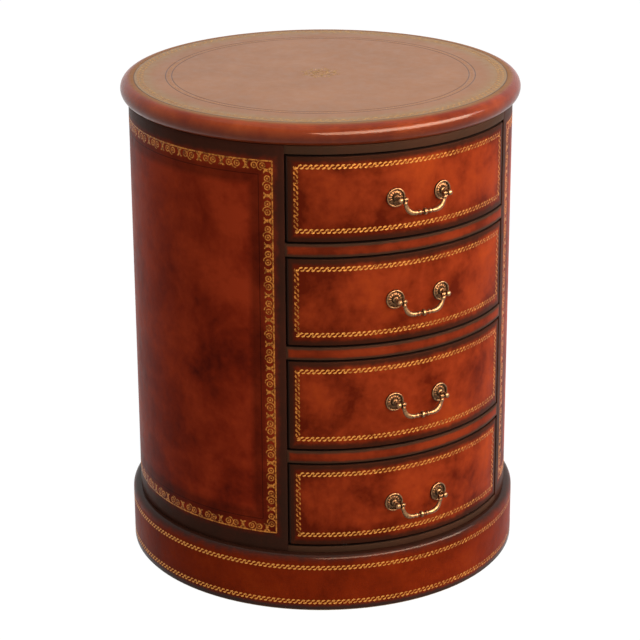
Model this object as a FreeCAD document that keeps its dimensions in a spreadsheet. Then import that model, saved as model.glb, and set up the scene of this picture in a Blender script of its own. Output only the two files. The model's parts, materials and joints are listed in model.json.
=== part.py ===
import FreeCAD, Part
import math
import os
import Sketcher

# A leather covered drum table: a round case of bent boards on a plinth, with four drawers
# behind a bowed front, each with a swinging brass handle, under a round top with a full
# rounded edge. Millimetres, +Z up, the floor is z = 0, the case's axis is the Z axis and
# the drawers open towards -Y.

doc = FreeCAD.newDocument("drum_table")

# Driving sizes, each written once.
SIZES = [
    ("body_radius", 250, "drum over its leather"),
    ("top_overhang", 10, "edge of the round top past the drum"),
    ("top_thickness", 27, "top with its leather, and the diameter of its rounded edge"),
    ("top_seam_inset", 17.6, "from the edge of the top in to the seam round its leather"),
    ("plinth_ledge", 10.5, "plinth past the drum, over its leather"),
    ("plinth_height", 78, "floor to the ledge on which the drum stands"),
    ("plinth_wall", 27.3, "thickness of the bent plinth"),
    ("plinth_edge_radius", 8, "rounding of the ledge's outer edge"),
    ("plinth_leather_lift", 1.5, "leather stops this far above the floor"),
    ("base_board_thickness", 12, "board let into the plinth, flush with the floor"),
    ("floor_spigot_depth", 10, "part of the case floor that drops into the plinth"),
    ("bottom_rail_height", 8, "edge of the case floor below the lowest drawer"),
    ("top_rail_height", 11, "board above the uppermost drawer"),
    ("rail_height", 16.5, "rail between two drawers"),
    ("drawer_1_height", 108, "uppermost drawer front"),
    ("drawer_2_height", 112.5, "second drawer front"),
    ("drawer_3_height", 117.5, "third drawer front"),
    ("drawer_4_height", 110.5, "lowest drawer front"),
    ("drawer_gap", 3, "shadow gap all round a drawer front"),
    ("opening_width", 316, "between the stiles"),
    ("leather_thickness", 1.2, "hide glued to every outer face"),
    ("glue_line", 0.3, "glue and lining between hide and board"),
    ("leather_turn_in", 10, "hide turned in between the drum and what it meets"),
    ("shell_thickness", 14, "bent board of the drum's wall"),
    ("stile_width", 22, "post on each side of the drawers"),
    ("stile_thickness", 20, "the same post, front to back"),
    ("front_thickness", 18, "bowed drawer front"),
    ("box_side_thickness", 12, "sides and back of a drawer box"),
    ("box_bottom_thickness", 6, "drawer bottom"),
    ("bottom_groove_depth", 5, "groove that holds the drawer bottom"),
    ("bottom_rise", 8, "drawer bottom above the lower edge of the sides"),
    ("box_top_drop", 22, "drawer sides below the top of the front"),
    ("side_clearance", 1, "drawer box to guide board, each side"),
    ("guide_thickness", 16, "upright board beside the drawer boxes"),
    ("runner_width", 24, "bar under the side of a drawer box"),
    ("dust_board_thickness", 4, "panel between two drawers"),
    ("stop_depth", 20, "block behind a drawer side, front to back"),
    ("stop_height", 14, "the same block's height"),
    ("fit_clearance", 0.3, "between pieces that slide or slip together"),
    ("handle_spacing", 66, "between the two posts, across the drawer front"),
    ("rosette_diameter", 24.5, "round plate behind a post"),
    ("rosette_thickness", 1.2, "its dished middle"),
    ("rosette_rim_height", 2.4, "its raised rim, above the leather"),
    ("rosette_rim_width", 2, "width of the raised rim"),
    ("rosette_boss_diameter", 12, "raised middle of the plate"),
    ("rosette_boss_height", 2.6, "the same, above the leather"),
    ("post_diameter", 5.4, "post in front of the plate"),
    ("post_collar_diameter", 8, "collar of the post on the plate"),
    ("post_collar_height", 1.6, "thickness of the collar"),
    ("post_reach", 15, "leather to the centre of the post's ball, where the handle turns"),
    ("ball_diameter", 7.4, "ball on the post"),
    ("thread_diameter", 4, "shank of the post through the drawer front"),
    ("shank_end", 3, "shank past its nut"),
    ("nut_width", 9, "hexagon nut, across its corners"),
    ("nut_thickness", 3.4, "the same nut's thickness"),
    ("pin_diameter", 2.2, "pin at each end of the swinging handle"),
    ("pin_clearance", 0.05, "round a pin or a shank in its hole"),
    ("pin_end", 1.5, "pin past the middle of the ball"),
    ("eye_play", 0.8, "eye of the handle to the ball"),
    ("eye_diameter", 6, "curled eye of the handle"),
    ("eye_length", 5, "the same eye, along the pivot"),
    ("wire_diameter", 5, "arms and corners of the handle"),
    ("handle_drop", 19, "pivot to the middle of the grip"),
    ("handle_corner_radius", 13, "bend between arm and grip"),
    ("grip_disc_diameter", 9, "disc in the middle of the grip"),
    ("grip_disc_width", 2.4, "the same disc's width"),
    ("grip_neck_diameter", 3, "thin neck beside the disc"),
    ("grip_bead_diameter", 6, "bead beyond the neck"),
    ("grip_bead_centre", 9.5, "middle of the grip to the middle of a bead"),
    ("grip_swell_diameter", 5.8, "swelling towards the corner"),
    ("top_screw_inset", 48.8, "edge of the case in to the screws up into the top"),
    ("screw_head_diameter", 9, "flat head, countersunk"),
    ("screw_head_depth", 3, "the same head"),
    ("screw_diameter", 4.4, "shank of a screw"),
    ("top_screw_length", 26, "screw from the case into the top"),
    ("base_screw_length", 40, "screw from the case floor into the plinth"),
    ("screw_clearance", 0.1, "round a screw in its hole"),
    ("cut_overrun", 6, "how far a cutter runs past what it cuts"),
]

# Radii, heights and places that follow from the driving sizes.
PLACES = [
    ("hide_inner", "Sizes.body_radius - Sizes.leather_thickness"),
    ("board_radius", "Places.hide_inner - Sizes.glue_line"),
    ("shell_inner", "Places.board_radius - Sizes.shell_thickness"),
    ("front_inner", "Places.board_radius - Sizes.front_thickness"),
    ("turn_in_radius", "Sizes.body_radius - Sizes.leather_turn_in"),
    ("skin", "Sizes.leather_thickness + Sizes.glue_line"),
    ("plinth_radius", "Sizes.body_radius + Sizes.plinth_ledge"),
    ("plinth_hide_inner", "Places.plinth_radius - Sizes.leather_thickness"),
    ("plinth_board_radius", "Places.plinth_radius - Places.skin"),
    ("plinth_inner", "Places.plinth_board_radius - Sizes.plinth_wall"),
    ("plinth_hide_low", "Sizes.plinth_height - Sizes.leather_thickness"),
    ("plinth_board_top", "Sizes.plinth_height - Places.skin"),
    ("plinth_round_radius", "Places.plinth_radius - Sizes.plinth_edge_radius"),
    ("plinth_round_low", "Sizes.plinth_height - Sizes.plinth_edge_radius"),
    ("plinth_hide_edge", "Sizes.plinth_edge_radius - Sizes.leather_thickness"),
    ("plinth_board_edge", "Sizes.plinth_edge_radius - Places.skin"),
    ("case_floor_low", "Sizes.plinth_height - Sizes.floor_spigot_depth"),
    ("case_floor_top", "Sizes.plinth_height + Sizes.bottom_rail_height"),
    ("drawer_4_low", "Places.case_floor_top + Sizes.drawer_gap"),
    ("drawer_4_high", "Places.drawer_4_low + Sizes.drawer_4_height"),
    ("rail_3_low", "Places.drawer_4_high + Sizes.drawer_gap"),
    ("rail_3_high", "Places.rail_3_low + Sizes.rail_height"),
    ("drawer_3_low", "Places.rail_3_high + Sizes.drawer_gap"),
    ("drawer_3_high", "Places.drawer_3_low + Sizes.drawer_3_height"),
    ("rail_2_low", "Places.drawer_3_high + Sizes.drawer_gap"),
    ("rail_2_high", "Places.rail_2_low + Sizes.rail_height"),
    ("drawer_2_low", "Places.rail_2_high + Sizes.drawer_gap"),
    ("drawer_2_high", "Places.drawer_2_low + Sizes.drawer_2_height"),
    ("rail_1_low", "Places.drawer_2_high + Sizes.drawer_gap"),
    ("rail_1_high", "Places.rail_1_low + Sizes.rail_height"),
    ("drawer_1_low", "Places.rail_1_high + Sizes.drawer_gap"),
    ("drawer_1_high", "Places.drawer_1_low + Sizes.drawer_1_height"),
    ("case_top_low", "Places.drawer_1_high + Sizes.drawer_gap"),
    ("case_top_high", "Places.case_top_low + Sizes.top_rail_height"),
    ("table_height", "Places.case_top_high + Sizes.top_thickness"),
    ("top_radius", "Sizes.body_radius + Sizes.top_overhang"),
    ("top_round_radius", "Places.top_radius - Sizes.top_thickness / 2"),
    ("top_round_height", "Places.case_top_high + Sizes.top_thickness / 2"),
    ("rim_hide_low", "Places.case_top_high + Sizes.leather_thickness"),
    ("rim_hide_high", "Places.table_height - Sizes.leather_thickness"),
    ("rim_hide_round", "Sizes.top_thickness / 2 - Sizes.leather_thickness"),
    ("rim_hide_inner", "Places.top_radius - Sizes.leather_thickness"),
    ("top_board_low", "Places.case_top_high + Places.skin"),
    ("top_board_high", "Places.table_height - Places.skin"),
    ("top_board_round", "Sizes.top_thickness / 2 - Places.skin"),
    ("top_board_radius", "Places.top_radius - Places.skin"),
    ("top_seam_radius", "Places.top_radius - Sizes.top_seam_inset"),
    ("top_screw_circle", "Places.board_radius - Sizes.top_screw_inset"),
    ("base_screw_circle", "Places.board_radius - Sizes.shell_thickness / 2"),
    ("opening_half", "Sizes.opening_width / 2"),
    ("front_half", "Places.opening_half - Sizes.drawer_gap"),
    ("stile_outside", "Places.opening_half + Sizes.stile_width"),
    ("stile_inner", "Places.board_radius - Sizes.stile_thickness"),
    ("guide_inside", "Places.opening_half - Sizes.guide_thickness"),
    ("guide_front", "Sizes.drawer_gap - sqrt(Places.front_inner ^ 2 - Places.front_half ^ 2)"),
    ("guide_back", "sqrt(Places.shell_inner ^ 2 - Places.opening_half ^ 2) - Sizes.fit_clearance"),
    ("runner_inside", "Places.guide_inside - Sizes.runner_width"),
    ("box_half", "Places.guide_inside - Sizes.side_clearance"),
    ("box_inside", "Places.box_half - Sizes.box_side_thickness"),
    ("box_back", "Places.guide_back - Sizes.stop_depth - Sizes.fit_clearance"),
    ("bottom_half", "Places.box_inside + Sizes.bottom_groove_depth"),
    ("opening_half_angle", "asin(Places.opening_half / Sizes.body_radius)"),
    ("panel_angle", "(360deg - 2 * Places.opening_half_angle) / 3"),
    ("side_sweep", "Places.opening_half_angle + Places.panel_angle"),
    ("handle_angle", "asin(Sizes.handle_spacing / 2 / Sizes.body_radius)"),
    ("pivot_radius", "Sizes.body_radius + Sizes.post_reach"),
    ("pivot_side", "Places.pivot_radius * sin(Places.handle_angle)"),
    ("pivot_front", "-Places.pivot_radius * cos(Places.handle_angle)"),
    ("eye_outside", "Places.pivot_side - Sizes.ball_diameter / 2 - Sizes.eye_play"),
    ("eye_inside", "Places.eye_outside - Sizes.eye_length"),
    ("arm_side", "Places.eye_outside - Sizes.eye_length / 2"),
    ("pin_outside", "Places.pivot_side + Sizes.pin_end"),
    ("grip_half", "Places.arm_side - Sizes.handle_corner_radius"),
]

# Where the handle's posts stand on each drawer front, from its lower edge, as shares of
# its height, from the uppermost drawer down.
HANDLE_HEIGHT_SHARES = (0.48, 0.49, 0.495, 0.475)
TOP_SCREW_COUNT = 6
BASE_SCREW_COUNT = 8


def fill_sheet(name, rows):
    """A spreadsheet with one named value per row."""
    sheet = doc.addObject("Spreadsheet::Sheet", name)
    for number, row in enumerate(rows, start=1):
        sheet.set(f"A{number}", row[0])
        sheet.setAlias(f"B{number}", row[0])
        sheet.set(f"B{number}", str(row[1]))
        if len(row) > 2:
            sheet.set(f"C{number}", row[2])
    return sheet


sizes = fill_sheet("Sizes", SIZES)
doc.recompute()
places = fill_sheet("Places", [(name, "=" + formula) for name, formula in PLACES])
doc.recompute()


def number(formula):
    """The value of a formula on the two sheets, as a plain number."""
    value = places.evalExpression(formula)
    return float(getattr(value, "Value", value))


def place(thing, x="0", y="0", z="0", turn="0; 0; 0"):
    """Bind a placement: the turn is yaw, pitch and roll."""
    thing.setExpression("Placement", f"placement(vector({x}; {y}; {z}); rotation({turn}))")
    return thing


def box(name, x, y, z):
    """A block between two formulas along each axis."""
    thing = doc.addObject("Part::Box", name)
    for side, (low, high) in zip(("Length", "Width", "Height"), (x, y, z)):
        thing.setExpression(side, f"({high}) - ({low})")
    return place(thing, x[0], y[0], z[0])


def cylinder(name, radius, low, high, start="0deg", sweep="360deg"):
    """An upright cylinder, or a sector of one, about the drum's axis."""
    thing = doc.addObject("Part::Cylinder", name)
    thing.setExpression("Radius", radius)
    thing.setExpression("Height", f"({high}) - ({low})")
    thing.setExpression("Angle", sweep)
    return place(thing, z=low, turn=f"{start}; 0; 0")


def cross_rod(name, diameter, low, high, y="0", z="0"):
    """A round rod along X."""
    thing = doc.addObject("Part::Cylinder", name)
    thing.setExpression("Radius", f"({diameter}) / 2")
    thing.setExpression("Height", f"({high}) - ({low})")
    return place(thing, low, y, z, "0; 90; 0")


def cut(name, base, *tools):
    """The base less the tools."""
    tool = tools[0]
    if len(tools) > 1:
        tool = group(name + "_tools", *tools)
    thing = doc.addObject("Part::Cut", name)
    thing.Base = base
    thing.Tool = tool
    return thing


def common(name, *shapes):
    """What the shapes share."""
    thing = doc.addObject("Part::MultiCommon", name)
    thing.Shapes = list(shapes)
    return thing


def fuse(name, *shapes):
    """The shapes as one."""
    thing = doc.addObject("Part::MultiFuse", name)
    thing.Shapes = list(shapes)
    return thing


def group(name, *links):
    """Separate solids kept together under one name."""
    thing = doc.addObject("Part::Compound", name)
    thing.Links = list(links)
    return thing


def mirrored(name, source):
    """The source on the other side of the drum's middle plane."""
    thing = doc.addObject("Part::Mirroring", name)
    thing.Source = source
    thing.Normal = FreeCAD.Vector(1, 0, 0)
    return thing


def ring(name, outer, inner, low, high, start="0deg", sweep="360deg"):
    """A curved wall between two radii."""
    over = f"({low}) - Sizes.cut_overrun", f"({high}) + Sizes.cut_overrun"
    wall = cylinder(name + "_outside", outer, low, high, start, sweep)
    core = cylinder(name + "_core", inner, *over)
    return cut(name, wall, core)


def arc_between(start, end, radius, turn):
    """The arc of a radius between two points, drawn counter-clockwise either way."""
    chord = end - start
    rise = math.sqrt(max(radius ** 2 - chord.Length ** 2 / 4, 0))
    side = FreeCAD.Vector(-chord.y, chord.x, 0).normalize() * turn
    centre = (start + end) / 2 + side * rise
    crown = centre - side * radius
    if turn > 0:
        return Part.Arc(start, crown, end)
    return Part.Arc(end, crown, start)


def draw(sketch, outline):
    """A closed outline of (x, y) formulas, each pinned to the origin by its own constraints.

    A point with a third and a fourth entry is reached by an arc of that radius, which turns
    to the left for 1 and to the right for -1.
    """
    points = [FreeCAD.Vector(number(row[0]), number(row[1]), 0) for row in outline]
    ends = []
    for index, row in enumerate(outline):
        start = points[index - 1]
        end = points[index]
        if len(row) == 2:
            sketch.addGeometry(Part.LineSegment(start, end))
            ends.append((1, 2))
        else:
            sketch.addGeometry(arc_between(start, end, number(row[2]), row[3]))
            ends.append((1, 2) if row[3] > 0 else (2, 1))
    for index, row in enumerate(outline):
        following = (index + 1) % len(outline)
        last = ends[index][1]
        sketch.addConstraint(
            Sketcher.Constraint("Coincident", index, last, following, ends[following][0])
        )
        for kind, formula, axis in (("DistanceX", row[0], -2), ("DistanceY", row[1], -1)):
            if formula == "0":
                sketch.addConstraint(Sketcher.Constraint("PointOnObject", index, last, axis))
                continue
            value = number(formula)
            made = sketch.addConstraint(Sketcher.Constraint(kind, -1, 1, index, last, value))
            sketch.setExpression(f"Constraints[{made}]", formula)
        if len(row) == 4:
            made = sketch.addConstraint(Sketcher.Constraint("Radius", index, number(row[2])))
            sketch.setExpression(f"Constraints[{made}]", row[2])


def turned(name, outline):
    """A body turned about its Z axis from an outline of (radius, height)."""
    body = doc.addObject("PartDesign::Body", name)
    sketch = body.newObject("Sketcher::SketchObject", name + "_outline")
    planes = [plane for plane in body.Origin.OriginFeatures if plane.Role == "XZ_Plane"]
    sketch.AttachmentSupport = (planes[0], [""])
    sketch.MapMode = "FlatFace"
    draw(sketch, outline)
    doc.recompute()
    turning = body.newObject("PartDesign::Revolution", name + "_turning")
    turning.Profile = sketch
    turning.ReferenceAxis = (sketch, ["V_Axis"])
    turning.Angle = 360
    return body


def circle_of(name, source, count, radius, height):
    """Copies of a screw on a circle, half a step round from the drum's middle."""
    copies = []
    for index in range(count):
        copy = group(f"{name}_{index + 1}", source)
        angle = f"{index} * 360deg / {count} + 180deg / {count}"
        place(copy, f"{radius} * cos({angle})", f"{radius} * sin({angle})", height)
        copies.append(copy)
    return copies


nodes = []


def node(thing):
    """Keep a finished sub-part: its own name is the name of its file."""
    thing.Label = thing.Name
    nodes.append(thing)
    return thing


# Flat headed screws, modelled once with the head at z = 0 and the point at +Z, and the
# slightly wider hole of each.


def screw_pair(name, length):
    """A screw and its hole."""
    head = "Sizes.screw_head_diameter / 2"
    shank = "Sizes.screw_diameter / 2"
    point = f"{length} - Sizes.screw_diameter"
    made = turned(
        name + "_blank",
        [
            ("0", "0"),
            (head, "0"),
            (shank, "Sizes.screw_head_depth"),
            (shank, point),
            ("0", length),
        ],
    )
    gap = "Sizes.screw_clearance"
    hole = turned(
        name + "_hole",
        [
            ("0", "-Sizes.cut_overrun"),
            (f"{head} + {gap}", "-Sizes.cut_overrun"),
            (f"{head} + {gap}", "0"),
            (f"{shank} + {gap}", f"Sizes.screw_head_depth + {gap}"),
            (f"{shank} + {gap}", f"{length} + {gap}"),
            ("0", f"{length} + {gap}"),
        ],
    )
    return made, hole


top_screw, top_screw_hole = screw_pair("top_screw", "Sizes.top_screw_length")
base_screw, base_screw_hole = screw_pair("base_screw", "Sizes.base_screw_length")
base_screw_down = group("base_screw_down", base_screw)
place(base_screw_down, turn="0; 0; 180")
base_hole_down = group("base_hole_down", base_screw_hole)
place(base_hole_down, turn="0; 0; 180")

top_circle = (TOP_SCREW_COUNT, "Places.top_screw_circle", "Places.case_top_low")
base_circle = (BASE_SCREW_COUNT, "Places.base_screw_circle", "Places.case_floor_top")
top_screws = circle_of("top_screw_set", top_screw, *top_circle)
top_holes = circle_of("top_hole_set", top_screw_hole, *top_circle)
base_screws = circle_of("base_screw_set", base_screw_down, *base_circle)
base_holes = circle_of("base_hole_set", base_hole_down, *base_circle)

# Plinth: a bent ring with a rounded upper edge, a round board let in flush with the floor,
# and the leather that covers the ring's outside and turns in under the drum.

plinth_blank = turned(
    "plinth_blank",
    [
        ("Places.plinth_inner", "0"),
        ("Places.plinth_board_radius", "0"),
        ("Places.plinth_board_radius", "Places.plinth_round_low"),
        ("Places.plinth_round_radius", "Places.plinth_board_top", "Places.plinth_board_edge", 1),
        ("Places.turn_in_radius", "Places.plinth_board_top"),
        ("Places.turn_in_radius", "Sizes.plinth_height"),
        ("Places.plinth_inner", "Sizes.plinth_height"),
    ],
)
node(cut("plinth_ring", plinth_blank, *base_holes))
hide_turn_in = "Places.turn_in_radius + Sizes.glue_line"
plinth_hide = turned(
    "plinth_hide",
    [
        ("Places.plinth_hide_inner", "Sizes.plinth_leather_lift"),
        ("Places.plinth_radius", "Sizes.plinth_leather_lift"),
        ("Places.plinth_radius", "Places.plinth_round_low"),
        ("Places.plinth_round_radius", "Sizes.plinth_height", "Sizes.plinth_edge_radius", 1),
        (hide_turn_in, "Sizes.plinth_height"),
        (hide_turn_in, "Places.plinth_hide_low"),
        ("Places.plinth_round_radius", "Places.plinth_hide_low"),
        ("Places.plinth_hide_inner", "Places.plinth_round_low", "Places.plinth_hide_edge", -1),
    ],
)
node(cut("plinth_leather", plinth_hide, *base_holes))
base_radius = "Places.plinth_inner - Sizes.fit_clearance"
node(cylinder("base_board", base_radius, "0", "Sizes.base_board_thickness"))

# Case floor, stepped so that its lower part drops into the plinth, and the board above the
# drawers.

floor_blank = turned(
    "floor_blank",
    [
        ("0", "Places.case_floor_low"),
        (base_radius, "Places.case_floor_low"),
        (base_radius, "Sizes.plinth_height"),
        ("Places.board_radius", "Sizes.plinth_height"),
        ("Places.board_radius", "Places.case_floor_top"),
        ("0", "Places.case_floor_top"),
    ],
)
node(cut("case_floor", floor_blank, *base_holes))
case_top_blank = cylinder(
    "case_top_blank", "Places.board_radius", "Places.case_top_low", "Places.case_top_high"
)
node(cut("case_top", case_top_blank, *top_holes))

# Drum wall: three bent boards, two posts beside the drawers, and the three hides over them,
# butted at the same two seams behind.

SECTORS = (
    ("right", "-90deg", "Places.side_sweep"),
    ("back", "Places.side_sweep - 90deg", "Places.panel_angle"),
    ("left", "270deg - Places.side_sweep", "Places.side_sweep"),
)
over_front = ("-Sizes.body_radius - Sizes.cut_overrun", "0")
stile_outside = ("-Places.stile_outside", "Places.stile_outside")
opening = ("-Places.opening_half", "Places.opening_half")
wall_height = ("Places.case_floor_top", "Places.case_top_low")
hide_height = ("Sizes.plinth_height", "Places.case_top_high")
for side, start, sweep in SECTORS:
    shell = ring(
        f"{side}_shell_sector",
        "Places.board_radius",
        "Places.shell_inner",
        *wall_height,
        start,
        sweep,
    )
    hide = ring(
        f"{side}_leather_sector",
        "Sizes.body_radius",
        "Places.hide_inner",
        *hide_height,
        start,
        sweep,
    )
    shell_gap = box(f"{side}_shell_gap", stile_outside, over_front, wall_height)
    hide_gap = box(f"{side}_leather_gap", opening, over_front, hide_height)
    node(cut(f"{side}_shell", shell, shell_gap))
    node(cut(f"{side}_leather", hide, hide_gap))

stile_ring = ring("stile_ring", "Places.board_radius", "Places.stile_inner", *wall_height)
stile_block = box(
    "stile_block", ("Places.opening_half", "Places.stile_outside"), over_front, wall_height
)
right_stile = node(common("right_stile", stile_ring, stile_block))
node(mirrored("left_stile", right_stile))

# Upright boards beside the drawer boxes, bowed rails between the drawers, and behind each
# rail two runners with a dust board between them. A block behind each drawer side stops it.

guide_run = ("Places.guide_front", "Places.guide_back")
right_guide = box(
    "right_guide", ("Places.guide_inside", "Places.opening_half"), guide_run, wall_height
)
node(group("guide_boards", right_guide, mirrored("left_guide", right_guide)))

rails = []
rail_hides = []
runners = []
dust_boards = []
stops = []
rail_depth = (over_front[0], "Places.guide_front")


def bowed_strip(name, low, high):
    """Leather over one rail."""
    strip = ring(name + "_ring", "Sizes.body_radius", "Places.hide_inner", low, high)
    return common(name, strip, box(name + "_block", opening, over_front, (low, high)))


def rear_stops(drawer, seat):
    """Two blocks on the runners, behind the sides of one drawer."""
    depth = ("Places.box_back + Sizes.fit_clearance", "Places.guide_back")
    height = (seat, f"{seat} + Sizes.stop_height")
    right = box(f"stop_{drawer}_right", ("Places.box_inside", "Places.box_half"), depth, height)
    return [right, mirrored(f"stop_{drawer}_left", right)]


for rail in (1, 2, 3):
    height = (f"Places.rail_{rail}_low", f"Places.rail_{rail}_high")
    disc = cylinder(f"rail_{rail}_disc", "Places.board_radius", *height)
    block = box(f"rail_{rail}_block", opening, rail_depth, height)
    rails.append(common(f"rail_{rail}", disc, block))
    rail_hides.append(bowed_strip(f"rail_{rail}_hide", *height))
    runner = box(
        f"runner_{rail}", ("Places.runner_inside", "Places.guide_inside"), guide_run, height
    )
    runners.extend([runner, mirrored(f"runner_{rail}_left", runner)])
    dust_low = f"(({height[0]}) + ({height[1]}) - Sizes.dust_board_thickness) / 2"
    dust_height = (dust_low, f"{dust_low} + Sizes.dust_board_thickness")
    dust_width = ("-Places.runner_inside", "Places.runner_inside")
    dust_boards.append(box(f"dust_board_{rail}", dust_width, guide_run, dust_height))
    stops.extend(rear_stops(rail, height[1]))
stops.extend(rear_stops(4, "Places.case_floor_top"))
rail_hides.append(bowed_strip("bottom_hide", "Sizes.plinth_height", "Places.case_floor_top"))
rail_hides.append(bowed_strip("top_hide", "Places.case_top_low", "Places.case_top_high"))
node(group("drawer_rails", *rails))
node(group("rail_leather", *rail_hides))
node(group("drawer_runners", *runners))
node(group("dust_boards", *dust_boards))
node(group("drawer_stops", *stops))

# Top: a round board with a full rounded edge, a round hide on it, and a second hide that
# covers the edge from that seam round to where the drum begins.

top_blank = turned(
    "top_blank",
    [
        ("0", "Places.case_top_high"),
        ("Places.turn_in_radius", "Places.case_top_high"),
        ("Places.turn_in_radius", "Places.top_board_low"),
        ("Places.top_round_radius", "Places.top_board_low"),
        ("Places.top_board_radius", "Places.top_round_height", "Places.top_board_round", 1),
        ("Places.top_round_radius", "Places.top_board_high", "Places.top_board_round", 1),
        ("0", "Places.top_board_high"),
    ],
)
node(cut("top_board", top_blank, *top_holes))
node(
    cylinder(
        "top_leather", "Places.top_seam_radius", "Places.rim_hide_high", "Places.table_height"
    )
)
edge_radius = "Sizes.top_thickness / 2"
node(
    turned(
        "rim_leather",
        [
            (hide_turn_in, "Places.rim_hide_low"),
            (hide_turn_in, "Places.case_top_high"),
            ("Places.top_round_radius", "Places.case_top_high"),
            ("Places.top_radius", "Places.top_round_height", edge_radius, 1),
            ("Places.top_round_radius", "Places.table_height", edge_radius, 1),
            ("Places.top_seam_radius", "Places.table_height"),
            ("Places.top_seam_radius", "Places.rim_hide_high"),
            ("Places.top_round_radius", "Places.rim_hide_high"),
            ("Places.rim_hide_inner", "Places.top_round_height", "Places.rim_hide_round", -1),
            ("Places.top_round_radius", "Places.rim_hide_low", "Places.rim_hide_round", -1),
        ],
    )
)
node(group("top_screws", *top_screws))
node(group("base_screws", *base_screws))

# Handle, modelled once at z = 0 and repeated on each drawer. The plate and the post stand
# square to the bowed front, so the two posts lean apart a little, and the pins of the
# swinging grip pass through both on one straight line.

rim_radius = "Sizes.rosette_diameter / 2"
rim_inside = f"{rim_radius} - Sizes.rosette_rim_width"
rim_half = "Sizes.rosette_rim_width / 2"
shank_hole = "Sizes.thread_diameter / 2 + Sizes.pin_clearance"
boss_radius = "Sizes.rosette_boss_diameter / 2"
boss_slope = "Sizes.rosette_boss_height - Sizes.rosette_thickness"
rosette = turned(
    "rosette",
    [
        (shank_hole, "0"),
        (rim_radius, "0"),
        (rim_radius, f"Sizes.rosette_rim_height - {rim_half}"),
        (f"{rim_radius} - {rim_half}", "Sizes.rosette_rim_height", rim_half, 1),
        (rim_inside, f"Sizes.rosette_rim_height - {rim_half}", rim_half, 1),
        (rim_inside, "Sizes.rosette_thickness"),
        (boss_radius, "Sizes.rosette_thickness"),
        (f"{boss_radius} - ({boss_slope})", "Sizes.rosette_boss_height"),
        (shank_hole, "Sizes.rosette_boss_height"),
    ],
)
shank_radius = "Sizes.thread_diameter / 2"
post_radius = "Sizes.post_diameter / 2"
ball_radius = "Sizes.ball_diameter / 2"
collar_top = "Sizes.rosette_boss_height + Sizes.post_collar_height"
ball_low = f"Sizes.post_reach - sqrt(({ball_radius}) ^ 2 - ({post_radius}) ^ 2)"
nut_low = "-Places.skin - Sizes.front_thickness - Sizes.nut_thickness"
shank_low = f"{nut_low} - Sizes.shank_end"
post = turned(
    "post",
    [
        ("0", shank_low),
        (shank_radius, shank_low),
        (shank_radius, "Sizes.rosette_boss_height"),
        ("Sizes.post_collar_diameter / 2", "Sizes.rosette_boss_height"),
        (post_radius, collar_top),
        (post_radius, ball_low),
        (ball_radius, "Sizes.post_reach", ball_radius, 1),
        ("0", f"Sizes.post_reach + {ball_radius}", ball_radius, 1),
    ],
)
nut_blank = doc.addObject("Part::Prism", "nut_blank")
nut_blank.Polygon = 6
nut_blank.setExpression("Circumradius", "Sizes.nut_width / 2")
nut_blank.setExpression("Height", "Sizes.nut_thickness - Sizes.fit_clearance")
place(nut_blank, z=nut_low)
nut_bore = cylinder("nut_bore", shank_hole, f"{nut_low} - Sizes.cut_overrun", "0")
nut = cut("nut", nut_blank, nut_bore)
shank_way = cylinder(
    "shank_way", shank_hole, f"{shank_low} - Sizes.cut_overrun", "Sizes.cut_overrun"
)


def on_front(name, *pieces):
    """Pieces of the right hand post, square to the bowed front."""
    return place(
        group(name, *pieces),
        "Sizes.body_radius * sin(Places.handle_angle)",
        "-Sizes.body_radius * cos(Places.handle_angle)",
        "0",
        "Places.handle_angle; 0; 90",
    )


def both_sides(name, piece):
    """A piece and its mirror image."""
    return group(name, piece, mirrored(name + "_left", piece))


pin_hole = cross_rod(
    "pin_hole",
    "Sizes.pin_diameter + 2 * Sizes.pin_clearance",
    "0",
    "Places.pin_outside + Sizes.fit_clearance",
    "Places.pivot_front",
)
right_rosette = on_front("right_rosette", rosette)
right_post = cut("right_post", on_front("right_post_blank", post), pin_hole)
right_nut = on_front("right_nut", nut)
right_way = on_front("right_way", shank_way)
rosette_pair = both_sides("rosette_pair", right_rosette)
post_set = group(
    "post_set",
    right_post,
    mirrored("left_post", right_post),
    right_nut,
    mirrored("left_nut", right_nut),
)
way_pair = both_sides("way_pair", right_way)

# The swinging grip hangs from its two pins: eye, arm, bend, and a turned bar with a disc
# between two beads.

eye = cross_rod(
    "eye", "Sizes.eye_diameter", "Places.eye_inside", "Places.eye_outside", "Places.pivot_front"
)
pin = cross_rod(
    "pin", "Sizes.pin_diameter", "Places.arm_side", "Places.pin_outside", "Places.pivot_front"
)
wire_radius = "Sizes.wire_diameter / 2"
corner_height = "Sizes.handle_corner_radius - Sizes.handle_drop"
arm = doc.addObject("Part::Cylinder", "arm")
arm.setExpression("Radius", wire_radius)
arm.setExpression("Height", f"-({corner_height})")
place(arm, "Places.arm_side", "Places.pivot_front", corner_height)
corner = doc.addObject("Part::Torus", "corner")
corner.setExpression("Radius1", "Sizes.handle_corner_radius")
corner.setExpression("Radius2", wire_radius)
corner.Angle3 = 90
place(corner, "Places.grip_half", "Places.pivot_front", corner_height, "0; 90; 90")
neck = "Sizes.grip_neck_diameter / 2"
disc_half = "Sizes.grip_disc_width / 2"
bead = "Sizes.grip_bead_diameter / 2"
bead_reach = f"sqrt(({bead}) ^ 2 - ({neck}) ^ 2)"
swell = "Sizes.grip_swell_diameter / 2"
swell_start = f"Sizes.grip_bead_centre + {bead_reach}"
swell_middle = f"({swell_start} + Places.grip_half) / 2"
half_grip_blank = turned(
    "half_grip_blank",
    [
        ("0", "0"),
        ("Sizes.grip_disc_diameter / 2", "0"),
        ("Sizes.grip_disc_diameter / 2", disc_half),
        (neck, f"2 * {disc_half}"),
        (neck, f"Sizes.grip_bead_centre - {bead_reach}"),
        (bead, "Sizes.grip_bead_centre", bead, 1),
        (neck, f"Sizes.grip_bead_centre + {bead_reach}", bead, 1),
        (swell, swell_middle),
        (wire_radius, "Places.grip_half"),
        ("0", "Places.grip_half"),
    ],
)
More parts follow.
